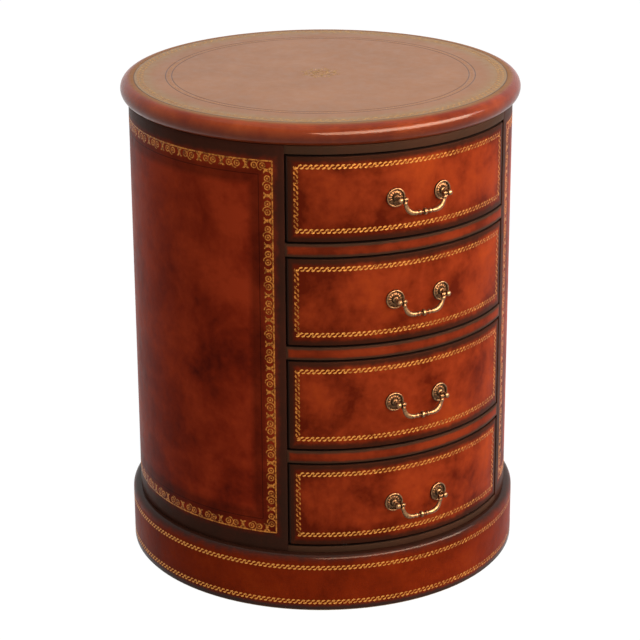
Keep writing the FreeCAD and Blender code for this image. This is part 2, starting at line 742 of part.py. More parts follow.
half_grip = place(
    group("half_grip", half_grip_blank), "0", "Places.pivot_front", "-Sizes.handle_drop", "0; 90; 0"
)
half_bail = fuse("half_bail", eye, pin, arm, corner, half_grip)
whole_bail = fuse("whole_bail", half_bail, mirrored("other_half_bail", half_bail))

# Drawers: a bowed front with its hide, two grooved sides, a back and a bottom, and the
# handle near half the front's height.

for drawer, handle_share in enumerate(HANDLE_HEIGHT_SHARES, start=1):
    low = f"Places.drawer_{drawer}_low"
    high = f"Places.drawer_{drawer}_high"
    box_low = f"{low} - Sizes.drawer_gap + Sizes.fit_clearance"
    box_high = f"{high} - Sizes.box_top_drop"
    bottom_low = f"{box_low} + Sizes.bottom_rise"
    bottom_high = f"{bottom_low} + Sizes.box_bottom_thickness"
    handle_height = f"{low} + Sizes.drawer_{drawer}_height * {handle_share}"
    name = f"drawer_{drawer}"

    front_width = ("-Places.front_half", "Places.front_half")
    ways = place(group(name + "_ways", way_pair), z=handle_height)
    for part, outer, inner in (
        ("front", "Places.board_radius", "Places.front_inner"),
        ("leather", "Sizes.body_radius", "Places.hide_inner"),
    ):
        wall = ring(f"{name}_{part}_wall", outer, inner, low, high)
        block = box(f"{name}_{part}_block", front_width, over_front, (low, high))
        node(cut(f"{name}_{part}", common(f"{name}_{part}_blank", wall, block), ways))

    inside_front = cylinder(f"{name}_inside", "Places.front_inner", box_low, high)
    run = (over_front[0], "Places.box_back")
    board = box(f"{name}_board", ("Places.box_inside", "Places.box_half"), run, (box_low, box_high))
    groove = box(
        f"{name}_groove",
        ("Places.box_inside - Sizes.cut_overrun", "Places.bottom_half"),
        (run[0], f"{run[1]} + Sizes.cut_overrun"),
        (bottom_low, bottom_high),
    )
    right_board = common(f"{name}_right_blank", board, inside_front)
    right_side = node(cut(f"{name}_right_side", right_board, groove))
    node(mirrored(f"{name}_left_side", right_side))
    bottom_width = ("-Places.bottom_half", "Places.bottom_half")
    panel = box(f"{name}_panel", bottom_width, run, (bottom_low, bottom_high))
    node(common(f"{name}_bottom", panel, inside_front))
    back_width = ("-Places.box_inside", "Places.box_inside")
    back_depth = ("Places.box_back - Sizes.box_side_thickness", "Places.box_back")
    node(box(f"{name}_back", back_width, back_depth, (bottom_high, box_high)))

    node(place(group(f"{name}_rosettes", rosette_pair), z=handle_height))
    node(place(group(f"{name}_handle_posts", post_set), z=handle_height))
    node(place(group(f"{name}_bail", whole_bail), z=handle_height))

doc.recompute()

# Every object has to be sound before anything is written.

for thing in doc.Objects:
    if "Invalid" in thing.State or "Error" in thing.State:
        raise RuntimeError(f"{thing.Label} could not be made: {thing.State}")
for thing in nodes:
    if thing.Shape.isNull() or not thing.Shape.isValid():
        raise RuntimeError(f"{thing.Label} has no sound shape")

os.makedirs("parts", exist_ok=True)
for thing in nodes:
    thing.Shape.exportStep(f"parts/{thing.Label}.step")
print(f"{len(nodes)} sub-parts, {number('Places.table_height'):.1f} mm high")
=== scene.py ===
import json
import math

import bmesh
import bpy
from mathutils import Matrix, Vector


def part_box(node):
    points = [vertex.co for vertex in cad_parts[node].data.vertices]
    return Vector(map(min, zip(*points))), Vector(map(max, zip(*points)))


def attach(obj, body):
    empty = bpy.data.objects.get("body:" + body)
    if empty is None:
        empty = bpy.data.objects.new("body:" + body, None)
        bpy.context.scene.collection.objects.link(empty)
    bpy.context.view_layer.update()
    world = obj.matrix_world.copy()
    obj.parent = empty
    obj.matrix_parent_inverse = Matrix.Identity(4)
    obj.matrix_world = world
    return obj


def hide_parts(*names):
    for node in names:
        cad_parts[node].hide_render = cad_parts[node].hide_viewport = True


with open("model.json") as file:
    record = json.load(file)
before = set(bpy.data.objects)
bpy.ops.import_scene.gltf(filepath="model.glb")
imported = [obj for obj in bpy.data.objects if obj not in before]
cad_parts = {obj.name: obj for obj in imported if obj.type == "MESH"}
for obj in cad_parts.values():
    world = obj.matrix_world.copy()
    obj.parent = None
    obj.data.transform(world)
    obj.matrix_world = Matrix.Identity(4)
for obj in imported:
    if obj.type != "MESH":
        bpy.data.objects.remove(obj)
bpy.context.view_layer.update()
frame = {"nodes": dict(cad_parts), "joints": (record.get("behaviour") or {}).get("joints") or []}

# Boards: birch plywood, bent for the wall and the plinth and sawn for the floors and the top,
# and beech for posts, rails and runners. Sanded and left bare inside, where only pale wood
# with long faint fibres shows. What borders a drawer gap is coloured nearly black, as painted
# shade that keeps the gaps dark.

MM = 0.001


def linear(code):
    """An sRGB hex colour as the linear values that a shader takes."""
    parts = [int(code[place:place + 2], 16) / 255 for place in (0, 2, 4)]
    light = [part / 12.92 if part <= 0.04045 else ((part + 0.055) / 1.055) ** 2.4 for part in parts]
    return light + [1]


def add_node(tree, kind, settings=None, links=None):
    """A node with its settings, the stops of a colour ramp among them, and links to its inputs."""
    node = tree.nodes.new(kind)
    for name, value in (settings or {}).items():
        if name == "stops":
            ends = node.color_ramp.elements
            while len(ends) < len(value):
                ends.new(1)
            for stop, (position, colour) in zip(ends, value):
                stop.position = position
                stop.color = colour
        elif isinstance(name, int) or name in node.inputs:
            node.inputs[name].default_value = value
        else:
            setattr(node, name, value)
    for name, socket in (links or {}).items():
        tree.links.new(socket, node.inputs[name])
    return node


def new_finish(name):
    """An empty material with its node tree and its shader."""
    finish = bpy.data.materials.new(name)
    finish.use_nodes = True
    return finish, finish.node_tree, finish.node_tree.nodes["Principled BSDF"]


def timber(name, pale, dark, fibre, roughness, shine=0.5):
    """Wood whose streaks measure fibre along X, Y and Z, in metres."""
    finish, tree, shader = new_finish(name)
    place = add_node(tree, "ShaderNodeTexCoord").outputs["Object"]
    stretch = add_node(
        tree, "ShaderNodeMapping", {"Scale": [1 / size for size in fibre]}, {"Vector": place}
    ).outputs[0]
    streaks = add_node(
        tree, "ShaderNodeTexNoise", {"Scale": 1, "Detail": 4, "Distortion": 0.4}, {"Vector": stretch}
    ).outputs[0]
    tone = add_node(
        tree,
        "ShaderNodeValToRGB",
        {"stops": [(0.35, linear(dark)), (0.65, linear(pale))]},
        {0: streaks},
    ).outputs[0]
    relief = add_node(
        tree, "ShaderNodeBump", {"Strength": 0.3, "Distance": 0.2 * MM}, {"Height": streaks}
    ).outputs[0]
    tree.links.new(tone, shader.inputs["Base Color"])
    tree.links.new(relief, shader.inputs["Normal"])
    shader.inputs["Roughness"].default_value = roughness
    shader.inputs["Specular IOR Level"].default_value = shine
    return finish


LONG_FIBRE = 90 * MM
FINE_FIBRE = 2.5 * MM
along_x = (LONG_FIBRE, FINE_FIBRE, FINE_FIBRE)
along_y = (FINE_FIBRE, LONG_FIBRE, FINE_FIBRE)
along_z = (FINE_FIBRE, FINE_FIBRE, LONG_FIBRE)
plywood_flat = timber("birch plywood, sawn", "C9A677", "A98352", along_x, 0.6)
plywood_bent = timber("birch plywood, bent", "C4A071", "A37D4E", along_z, 0.6)
drawer_wood = timber("beech drawer board, sealed", "B98B5E", "96683F", along_y, 0.45)
runner_wood = timber("beech, planed and waxed", "B58A5F", "8E6440", along_y, 0.5)
# Painted shade: the wood round each drawer gap is coloured nearly black so the gaps look dark.
gap_shade_wood = timber("beech, painted black-brown as gap shade", "3A2116", "24130C", along_z, 0.6, 0.1)
DRAWERS = (1, 2, 3, 4)
finishes = {
    "base_board": plywood_flat,
    "top_board": plywood_flat,
    "dust_boards": plywood_flat,
    "plinth_ring": plywood_bent,
    "left_shell": plywood_bent,
    "right_shell": plywood_bent,
    "back_shell": plywood_bent,
    "guide_boards": runner_wood,
    "drawer_runners": runner_wood,
    "drawer_stops": runner_wood,
    "case_floor": gap_shade_wood,
    "case_top": gap_shade_wood,
    "left_stile": gap_shade_wood,
    "right_stile": gap_shade_wood,
    "drawer_rails": gap_shade_wood,
}
for drawer in DRAWERS:
    finishes[f"drawer_{drawer}_front"] = gap_shade_wood
    for board in ("left_side", "right_side", "back", "bottom"):
        finishes[f"drawer_{drawer}_{board}"] = drawer_wood
for board, wood in finishes.items():
    for slot in frame["nodes"][board].material_slots:
        slot.material = wood

# Screws: zinc plated steel, driven from inside and never seen from outside. They hold the
# drum to the plinth and the top to the drum. The plating gives a dull grey shine, clouded by
# a faint bloom.

ZINC_BLOOM = 2 * MM
zinc, zinc_tree, zinc_shader = new_finish("steel, zinc plated")
zinc_place = add_node(zinc_tree, "ShaderNodeTexCoord").outputs["Object"]
zinc_bloom = add_node(
    zinc_tree, "ShaderNodeTexNoise", {"Scale": 1 / ZINC_BLOOM, "Detail": 2}, {"Vector": zinc_place}
).outputs[0]
zinc_tone = add_node(
    zinc_tree,
    "ShaderNodeValToRGB",
    {"stops": [(0.3, linear("8E9094")), (0.7, linear("C3C4C2"))]},
    {0: zinc_bloom},
).outputs[0]
zinc_tree.links.new(zinc_tone, zinc_shader.inputs["Base Color"])
zinc_shader.inputs["Metallic"].default_value = 1
zinc_shader.inputs["Roughness"].default_value = 0.35
for screws in ("top_screws", "base_screws"):
    for slot in frame["nodes"][screws].material_slots:
        slot.material = zinc

# Plinth hide: one strip of cowhide round the bent plinth, turned in over its rounded ledge.
# It is dyed red-brown in mottles, rubbed dark with wax on the ledge and at the foot, and
# tooled with two bands of gilt leaves.

DYE_CLOUD = 70 * MM
SPONGE_MARK = 10 * MM
HIDE_SWELL = 25 * MM
# The grain of a hide is under 1 mm. It is drawn wider so that it shows.
HIDE_GRAIN = 2.5 * MM
# The colour of darkened bands: tool lines, stains and painted shade.
DARK_BAND_COLOUR = "24100A"
AMBER = "FFC98A"


def leather(
    name,
    dark,
    body,
    pale,
    wax,
    reach,
    depth=0.9,
    drift=(0, 0, 0),
    shift=(0, 0, 0),
    lines=(),
    relief=1,
    shine=0.03,
    tint=AMBER,
    gloss=0.015,
    wax_gloss=None,
):
    """Aniline dyed cowhide, sponged in mottles, waxed dark towards its edges and polished.

    Its UV maps, near and far, hold the distances from a hide's four edges in metres. The wax
    is full up to a third of reach from an edge and ends a little past reach. Along drift the
    colour grows paler, by its length in a metre, and shift moves its clouds. Each line darkens
    a band, (distance from the edge, half width, strength), used for lines burnt in with a hot
    tool, for stained bands and for bands of painted shade. Relief is the depth of its grain,
    shine and tint are the light off the dye, and gloss is the polish. Where the wax is polished
    more than the rest, wax_gloss says how much.
    """
    finish, tree, shader = new_finish(name)
    place = add_node(tree, "ShaderNodeTexCoord").outputs["Object"]
    # Clouds of dye, broken up by the marks of a sponge.
    shifted = add_node(tree, "ShaderNodeMapping", {"Location": shift}, {"Vector": place}).outputs[0]
    clouds = add_node(
        tree,
        "ShaderNodeTexNoise",
        {"Scale": 1 / DYE_CLOUD, "Detail": 4, "Roughness": 0.56, "Distortion": 0.25},
        {"Vector": shifted},
    ).outputs[0]
    sponge = add_node(
        tree,
        "ShaderNodeTexNoise",
        {"Scale": 1 / SPONGE_MARK, "Detail": 3, "Roughness": 0.55, "Distortion": 0.2},
        {"Vector": place},
    ).outputs[0]
    near = add_node(tree, "ShaderNodeUVMap", {"uv_map": "near"}).outputs[0]
    far = add_node(tree, "ShaderNodeUVMap", {"uv_map": "far"}).outputs[0]
    closer = add_node(
        tree, "ShaderNodeVectorMath", {"operation": "MINIMUM"}, {0: near, 1: far}
    ).outputs[0]
    sides = add_node(tree, "ShaderNodeSeparateXYZ", links={0: closer})
    edge = add_node(
        tree, "ShaderNodeMath", {"operation": "MINIMUM"}, {0: sides.outputs[0], 1: sides.outputs[1]}
    ).outputs[0]
    # The wax ends along a ragged line, and the dye stays darker for a while beyond it.
    ragged = add_node(
        tree, "ShaderNodeMath", {"operation": "MULTIPLY_ADD", 1: 0.5 * reach}, {0: sponge, 2: edge}
    ).outputs[0]
    waxed = add_node(
        tree,
        "ShaderNodeMapRange",
        {"interpolation_type": "SMOOTHSTEP", 1: 0.6 * reach, 2: 1.5 * reach, 3: 1, 4: 0},
        {0: ragged},
    ).outputs[0]
    shade = add_node(
        tree, "ShaderNodeMapRange", {1: reach, 2: 3.5 * reach, 3: -0.12, 4: 0}, {0: ragged}
    ).outputs[0]
    marks = add_node(
        tree, "ShaderNodeMath", {"operation": "MULTIPLY_ADD", 1: 0.22}, {0: sponge, 2: clouds}
    ).outputs[0]
    mottle = add_node(
        tree, "ShaderNodeMath", {"operation": "ADD"}, {0: marks, 1: shade}
    ).outputs[0]
    across = add_node(
        tree, "ShaderNodeVectorMath", {"operation": "DOT_PRODUCT", 1: drift}, {0: place}
    ).outputs["Value"]
    mottle = add_node(
        tree, "ShaderNodeMath", {"operation": "ADD"}, {0: mottle, 1: across}
    ).outputs[0]
    dye = add_node(
        tree,
        "ShaderNodeValToRGB",
        {"stops": [(0.4, linear(dark)), (0.62, linear(body)), (0.85, linear(pale))]},
        {0: mottle},
    ).outputs[0]
    wax_share = add_node(
        tree, "ShaderNodeMath", {"operation": "MULTIPLY", 1: depth}, {0: waxed}
    ).outputs[0]
    colour = add_node(
        tree, "ShaderNodeMix", {"data_type": "RGBA", 7: linear(wax)}, {0: wax_share, 6: dye}
    ).outputs[2]
    for distance, half_width, strength in lines:
        away = add_node(
            tree, "ShaderNodeMath", {"operation": "SUBTRACT", 1: distance}, {0: edge}
        ).outputs[0]
        away = add_node(tree, "ShaderNodeMath", {"operation": "ABSOLUTE"}, {0: away}).outputs[0]
        line = add_node(
            tree,
            "ShaderNodeMapRange",
            {1: 0.4 * half_width, 2: half_width, 3: strength, 4: 0},
            {0: away},
        ).outputs[0]
        colour = add_node(
            tree, "ShaderNodeMix", {"data_type": "RGBA", 7: linear(DARK_BAND_COLOUR)}, {0: line, 6: colour}
        ).outputs[2]
    grain = add_node(
        tree, "ShaderNodeTexVoronoi", {"Scale": 1 / HIDE_GRAIN, "Randomness": 1}, {"Vector": place}
    ).outputs[0]
    pebbles = add_node(
        tree,
        "ShaderNodeBump",
        {"Strength": 0.5 * relief, "Distance": 0.2 * MM, "invert": True},
        {"Height": grain},
    ).outputs[0]
    # Hide over board is never quite even, so its highlights waver.
    swell = add_node(
        tree, "ShaderNodeTexNoise", {"Scale": 1 / HIDE_SWELL, "Detail": 2}, {"Vector": place}
    ).outputs[0]
    surface = add_node(
        tree,
        "ShaderNodeBump",
        {"Strength": 0.35 * relief, "Distance": MM},
        {"Height": swell, "Normal": pebbles},
    ).outputs[0]
    polish = add_node(
        tree, "ShaderNodeMapRange", {1: 0.3, 2: 0.7, 3: 0.36, 4: 0.46}, {0: sponge}
    ).outputs[0]
    tree.links.new(colour, shader.inputs["Base Color"])
    tree.links.new(polish, shader.inputs["Roughness"])
    tree.links.new(surface, shader.inputs["Normal"])
    shader.inputs["IOR"].default_value = 1.4
    shader.inputs["Specular IOR Level"].default_value = shine
    shader.inputs["Specular Tint"].default_value = linear(tint)
    shader.inputs["Coat Weight"].default_value = gloss
    shader.inputs["Coat Roughness"].default_value = 0.12
    shader.inputs["Coat IOR"].default_value = 1.35
    if wax_gloss:
        film = add_node(tree, "ShaderNodeMapRange", {3: gloss, 4: wax_gloss}, {0: waxed}).outputs[0]
        tree.links.new(film, shader.inputs["Coat Weight"])
    return finish


LEAF_RUB = 4 * MM
TOOL_DENT = 2 * MM


def gilding(name, leaf, ground, worn, drift=(0, 0, 0)):
    """Gold leaf stamped into leather with a hot tool, rubbed through here and there.

    Along drift more leaf colour is kept, by its length in a metre, as painted light: the gold
    looks to glint less the other way.
    """
    finish, tree, shader = new_finish(name)
    place = add_node(tree, "ShaderNodeTexCoord").outputs["Object"]
    rubs = add_node(
        tree,
        "ShaderNodeTexNoise",
        {"Scale": 1 / LEAF_RUB, "Detail": 4, "Roughness": 0.7},
        {"Vector": place},
    ).outputs[0]
    across = add_node(
        tree, "ShaderNodeVectorMath", {"operation": "DOT_PRODUCT", 1: drift}, {0: place}
    ).outputs["Value"]
    left_on = add_node(
        tree, "ShaderNodeMath", {"operation": "ADD"}, {0: rubs, 1: across}
    ).outputs[0]
    kept = add_node(
        tree, "ShaderNodeMapRange", {1: worn - 0.1, 2: worn + 0.08, 3: 0.1, 4: 1}, {0: left_on}
    ).outputs[0]
    colour = add_node(
        tree, "ShaderNodeMix", {"data_type": "RGBA", 6: linear(ground), 7: linear(leaf)}, {0: kept}
    ).outputs[2]
    metal = add_node(
        tree, "ShaderNodeMath", {"operation": "MULTIPLY", 1: 0.25}, {0: kept}
    ).outputs[0]
    # The tool leaves its strokes hollow and uneven, so they glint here and there.
    dents = add_node(
        tree, "ShaderNodeTexNoise", {"Scale": 1 / TOOL_DENT, "Detail": 1}, {"Vector": place}
    ).outputs[0]
    hollow = add_node(
        tree, "ShaderNodeBump", {"Strength": 1, "Distance": 0.5 * MM}, {"Height": dents}
    ).outputs[0]
    tree.links.new(colour, shader.inputs["Base Color"])
    tree.links.new(metal, shader.inputs["Metallic"])
    tree.links.new(hollow, shader.inputs["Normal"])
    shader.inputs["Roughness"].default_value = 0.38
    shader.inputs["Specular IOR Level"].default_value = 0.2
    shader.inputs["Specular Tint"].default_value = linear(AMBER)
    return finish


SAME_SPOT = 1e-7


def lathe(bm, outline, steps, rounds=None, closed=True):
    """Turns an outline of (radius, height) about the Z axis, with the corners in rounds rounded."""
    points = [bm.verts.new((radius, 0, height)) for radius, height in outline]
    edges = [bm.edges.new(pair) for pair in zip(points, points[1:])]
    if closed:
        edges.append(bm.edges.new((points[-1], points[0])))
    for corner, size in (rounds or {}).items():
        bmesh.ops.bevel(
            bm,
            geom=[points[corner]],
            offset=size,
            offset_type="OFFSET",
            segments=6,
            profile=0.5,
            affect="VERTICES",
            material=-1,
        )
    loose = [vert for vert in bm.verts if not vert.link_faces]
    wires = [edge for edge in bm.edges if not edge.link_faces]
    bmesh.ops.spin(
        bm,
        geom=loose + wires,
        cent=(0, 0, 0),
        axis=(0, 0, 1),
        angle=2 * math.pi,
        steps=steps,
        use_merge=True,
        use_duplicate=False,
    )
    bmesh.ops.remove_doubles(bm, verts=bm.verts, dist=SAME_SPOT)
    bmesh.ops.recalc_face_normals(bm, faces=bm.faces)


def map_edges(bm, measure):
    """Fills the UV maps near and far with the distances from a hide's four edges."""
    near = bm.loops.layers.uv.new("near")
    far = bm.loops.layers.uv.new("far")
    for face in bm.faces:
        for loop in face.loops:
            left, low, right, high = measure(loop.vert.co)
            loop[near].uv = (left, low)
            loop[far].uv = (right, high)


SHARP_EDGE = math.radians(40)


def make_piece(bm, name, finish):
    """The finished mesh as an object at the origin, smooth up to the angle of a sharp edge."""
    mesh = bpy.data.meshes.new(name)
    bm.to_mesh(mesh)
    bm.free()
    mesh.materials.append(finish)
    mesh.shade_smooth()
    mesh.set_sharp_from_angle(angle=SHARP_EDGE)
    piece = bpy.data.objects.new(name, mesh)
    bpy.context.scene.collection.objects.link(piece)
    return piece


HIDE = 1.2 * MM
CUT_EDGE = 0.5 * MM
# An edge that a hide doesn't have counts as this far away, in metres.
ENDLESS = 1
# How many times less far the wax reaches at the foot than on the ledge.
FOOT_WAX_NARROWING = 2.6
ROUND_STEPS = 224
LEDGE_ROUND = 8 * MM
LEDGE_TURN_IN = 20.5 * MM
plinth_low, plinth_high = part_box("plinth_leather")
plinth_radius = plinth_high.x
drum_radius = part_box("back_leather")[1].y
ledge = plinth_radius - drum_radius
plinth_rise = plinth_high.z - plinth_low.z

bm = bmesh.new()
lathe(
    bm,
    [
        (plinth_radius - HIDE, plinth_low.z),
        (plinth_radius, plinth_low.z),
        (plinth_radius, plinth_high.z),
        (plinth_radius - LEDGE_TURN_IN, plinth_high.z),
        (plinth_radius - LEDGE_TURN_IN, plinth_high.z - HIDE),
        (plinth_radius - HIDE, plinth_high.z - HIDE),
    ],
    ROUND_STEPS,
    {1: CUT_EDGE, 2: LEDGE_ROUND, 5: LEDGE_ROUND - HIDE},
)


def plinth_edges(spot):
    """Distances along the plinth: from the foot, and from where the ledge meets the drum."""
    inset = plinth_radius - math.hypot(spot.x, spot.y)
    climb = (spot.z - plinth_low.z) + inset
    return ENDLESS, FOOT_WAX_NARROWING * climb, ENDLESS, plinth_rise + ledge - climb


map_edges(bm, plinth_edges)
plinth_leather = leather(
    "cowhide, plinth",
    dark="7E260D",
    body="983010",
    pale="AE3E14",
    wax="2C2018",
    reach=0.019,
    shift=(2.59, 0.77, 1.61),
    wax_gloss=0.35,
)
plinth_hide = make_piece(bm, "plinth_hide", plinth_leather)
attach(plinth_hide, "case")
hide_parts("plinth_leather")

LEAF = 0.12 * MM
LEAF_STAND = 0.08 * MM


def stroke(bm, start, end, bulge, width, steps):
    """A leaf of a tool, in mm: a pointed arc that bulges to its left by a share of its chord."""
    start = Vector((*start, 0))
    chord = Vector((*end, 0)) - start
    rise = bulge * chord.length
    radius = (chord.length_squared / 4 + rise ** 2) / (2 * rise)
    left = Vector((-chord.y, chord.x, 0)).normalized()
    middle = start + chord / 2 + left * (rise - radius)
    way = (start - middle).normalized() * (width / 2)
    ends = [bm.verts.new(start - way), bm.verts.new(start + way)]
    made = bmesh.ops.spin(
        bm,
        geom=[*ends, bm.edges.new(ends)],
        cent=middle,
        axis=(0, 0, 1),
        angle=-4 * math.atan(2 * bulge),
        steps=steps,
        use_merge=False,
        use_duplicate=False,
    )
    last = [part for part in made["geom_last"] if isinstance(part, bmesh.types.BMVert)]
    for tip in (ends, last):
        bmesh.ops.pointmerge(bm, verts=tip, merge_co=(tip[0].co + tip[1].co) / 2)


def ring(bm, centre, radius, width, steps):
    """An open ring, in mm."""
    middle = Vector((*centre, 0))
    ends = [bm.verts.new(middle + Vector((radius + side * width / 2, 0, 0))) for side in (-1, 1)]
    bmesh.ops.spin(
        bm,
        geom=[*ends, bm.edges.new(ends)],
        cent=middle,
        axis=(0, 0, 1),
        angle=2 * math.pi,
        steps=steps,
        use_merge=True,
        use_duplicate=False,
    )


def dot(bm, centre, radius, sides=6):
    """A round dot, in mm."""
    bmesh.ops.create_circle(
        bm, cap_ends=True, segments=sides, radius=radius, matrix=Matrix.Translation((*centre, 0))
    )


def stamp(bm, name):
    """A flat drawing in mm as a thin closed plate, in metres, ready to be repeated."""
    bmesh.ops.scale(bm, vec=(MM, MM, MM), verts=bm.verts)
    for face in bm.faces:
        face.normal_update()
        if face.normal.z < 0:
            face.normal_flip()
    bmesh.ops.solidify(bm, geom=bm.faces[:], thickness=LEAF)
    bmesh.ops.recalc_face_normals(bm, faces=bm.faces)
    lowest = min(vert.co.z for vert in bm.verts)
    bmesh.ops.translate(bm, vec=(0, 0, LEAF_STAND - LEAF - lowest), verts=bm.verts)
    mesh = bpy.data.meshes.new(name)
    bm.to_mesh(mesh)
    bm.free()
    return mesh


def run_border(bm, pattern, start, end, pitch):
    """Repeats a stamp along a line on the flat, spaced evenly to fill it."""
    start = Vector((*start, 0))
    way = Vector((*end, 0)) - start
    turn = Matrix.Rotation(math.atan2(way.y, way.x), 4, "Z")
    count = max(1, round(way.length / pitch))
    for index in range(count):
        before = len(bm.verts)
        bm.from_mesh(pattern)
        bm.verts.ensure_lookup_table()
        spot = Matrix.Translation(start + way * (index + 0.5) / count)
        bmesh.ops.transform(bm, matrix=spot @ turn, verts=bm.verts[before:])


BEND_STEP = 4 * MM


def run_line(bm, start, end, width):
    """A plain gilt line on the flat, cut across often enough to bend."""
    start = Vector((*start, 0))
    way = Vector((*end, 0)) - start
    made = bmesh.ops.create_cube(bm, size=1)
    shape = (
        Matrix.Translation(start + way / 2 + Vector((0, 0, LEAF_STAND - LEAF / 2)))
        @ Matrix.Rotation(math.atan2(way.y, way.x), 4, "Z")
        @ Matrix.Diagonal((way.length, width, LEAF, 1))
    )
    bmesh.ops.transform(bm, matrix=shape, verts=made["verts"])
    long_edges = {
        edge
        for vert in made["verts"]
        for edge in vert.link_edges
        if edge.calc_length() > 0.99 * way.length
    }
    cuts = max(1, round(way.length / BEND_STEP))
    bmesh.ops.subdivide_edges(bm, edges=list(long_edges), cuts=cuts, use_grid_fill=True)


def wrap(bm, radius):
    """Bends flat work round the drum: it is drawn on the plane that touches the drum in front."""
    for vert in bm.verts:
        reach = -vert.co.y
        angle = vert.co.x / radius
        vert.co.x = reach * math.sin(angle)
        vert.co.y = -reach * math.cos(angle)


def stand(bm, radius):
    """Raises a flat drawing to the upright plane that touches the drum in front."""
    bmesh.ops.rotate(bm, cent=(0, 0, 0), matrix=Matrix.Rotation(math.pi / 2, 3, "X"), verts=bm.verts)
    bmesh.ops.translate(bm, vec=(0, -radius, 0), verts=bm.verts)


def leaf_roll(name, scale=1):
    """One turn of a bookbinder's roll: three leaning leaves, each an S, and a dot."""
    bm = bmesh.new()
    for middle in (-6.5, 0, 6.5):
        stroke(bm, (middle - 5, -2), (middle + 0.4, 0.3), -0.2, 2.1, 3)
        stroke(bm, (middle - 0.4, -0.3), (middle + 5, 2), 0.2, 2.1, 3)
    dot(bm, (-9.8, 0), 0.8)
    bmesh.ops.scale(bm, vec=(scale, scale, scale), verts=bm.verts)
    return stamp(bm, name)


PLINTH_BAND_RISES = (12.4 * MM, 61 * MM)
LEAF_PITCH = 19.6 * MM
leaves = leaf_roll("leaves")
# Painted light: the drift keeps less leaf towards the right, as if the gold's glint fades there.
bright_gilding = gilding("gold leaf, tooled", "F6A850", "984616", worn=0.47, drift=(-0.7, 0, 0))
bm = bmesh.new()
plinth_girth = 2 * math.pi * plinth_radius
for rise in PLINTH_BAND_RISES:
    run_border(bm, leaves, (0, rise), (plinth_girth, rise), LEAF_PITCH)
stand(bm, plinth_radius)
wrap(bm, plinth_radius)
plinth_tooling = make_piece(bm, "plinth_tooling", bright_gilding)
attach(plinth_tooling, "case")

# Drum hides: three sheets of the same cowhide over the bent wall, butted at two seams behind
# and ending at the drawers. Each is tooled with a gilt frame, a chain of crosses and rings
# beside a thin line, and inside that with one blind line.

SHEETS = 3
DRAWER_GAP = 3 * MM


def bent_hide(left, right, low, high, radius, edge=CUT_EDGE, sinks=(0, 0)):
    """A sheet of hide bent round the drum, between two arc lengths from the drawers' middle.

    The dark edge colour reaches further in from its lower and upper edges, by the two sinks;
    under the rim this is painted shade.
    """
    bm = bmesh.new()
    bmesh.ops.create_cube(bm, size=1)
    width = right - left
    bmesh.ops.scale(bm, vec=(width, HIDE, high - low), verts=bm.verts)
    middle = ((left + right) / 2, -radius + HIDE / 2, (low + high) / 2)
    bmesh.ops.translate(bm, vec=middle, verts=bm.verts)
    outside = [
        rim for rim in bm.edges if all(vert.co.y < -radius + HIDE / 2 for vert in rim.verts)
    ]
    bmesh.ops.bevel(
        bm, geom=outside, offset=edge, segments=3, profile=0.5, affect="EDGES", material=-1
    )
    long_edges = [rim for rim in bm.edges if rim.calc_length() > 0.9 * width]
    cuts = round(width / BEND_STEP)
    bmesh.ops.subdivide_edges(bm, edges=long_edges, cuts=cuts, use_grid_fill=True)
    map_edges(
        bm,
        lambda spot: (
            spot.x - left, spot.z - low - sinks[0], right - spot.x, high - spot.z - sinks[1]
        ),
    )
    wrap(bm, radius)
    return bm


opening_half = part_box("drawer_1_leather")[1].x + DRAWER_GAP
opening_reach = drum_radius * math.asin(opening_half / drum_radius)
panel_reach = (2 * math.pi * drum_radius - 2 * opening_reach) / SHEETS
wall_low, wall_high = (corner.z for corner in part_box("back_leather"))
panels = {
    "right": (opening_reach, opening_reach + panel_reach),
    "back": (opening_reach + panel_reach, opening_reach + 2 * panel_reach),
    "left": (-opening_reach - panel_reach, -opening_reach),
}
BLIND_LINE = (32.5 * MM, 0.8 * MM, 0.6)
STAINED_BAND = (35 * MM, 14 * MM, 0.45)
# Painted shade: along drift the drum's hide grows darker towards the foot, where less light reaches.
side_leather = leather(
    "cowhide, drum",
    dark="60180E",
    body="9A2F16",
    pale="C04220",
    wax="3E2A20",
    reach=0.017,
    drift=(0, 0, 0.3),
    shift=(0.74, 0.22, 0.46),
    lines=(BLIND_LINE, STAINED_BAND),
)
CHAIN_PITCH = 32 * MM
CHAIN_INSET = 21.1 * MM
CHAIN_TOP = 592 * MM
CHAIN_FOOT = 109 * MM
CHAIN_HALF = 4.4 * MM
CHAIN_LINE = 1.8 * MM


def chain_link(name):
    """A cross of leaves, a small ring with a dot and a larger one under two horns."""
    bm = bmesh.new()
    for side in (-1, 1):
        for rise in (-1, 1):
            stroke(bm, (-10.6, 0), (-10.6 + 4.6 * side, 4.9 * rise), 0.18 * side * rise, 2.4, 3)
        stroke(bm, (4.4, 0.5 * side), (10.8, 5 * side), 0.36 * side, 1.3, 4)
    dot(bm, (-10.6, 0), 2.2, 8)
    ring(bm, (0, 0), 3.5, 1.6, 12)
    dot(bm, (0, 0), 1.4)
    ring(bm, (10.8, 0), 3.4, 1.5, 14)
    dot(bm, (10.8, 0), 1.3, 8)
    return stamp(bm, name)


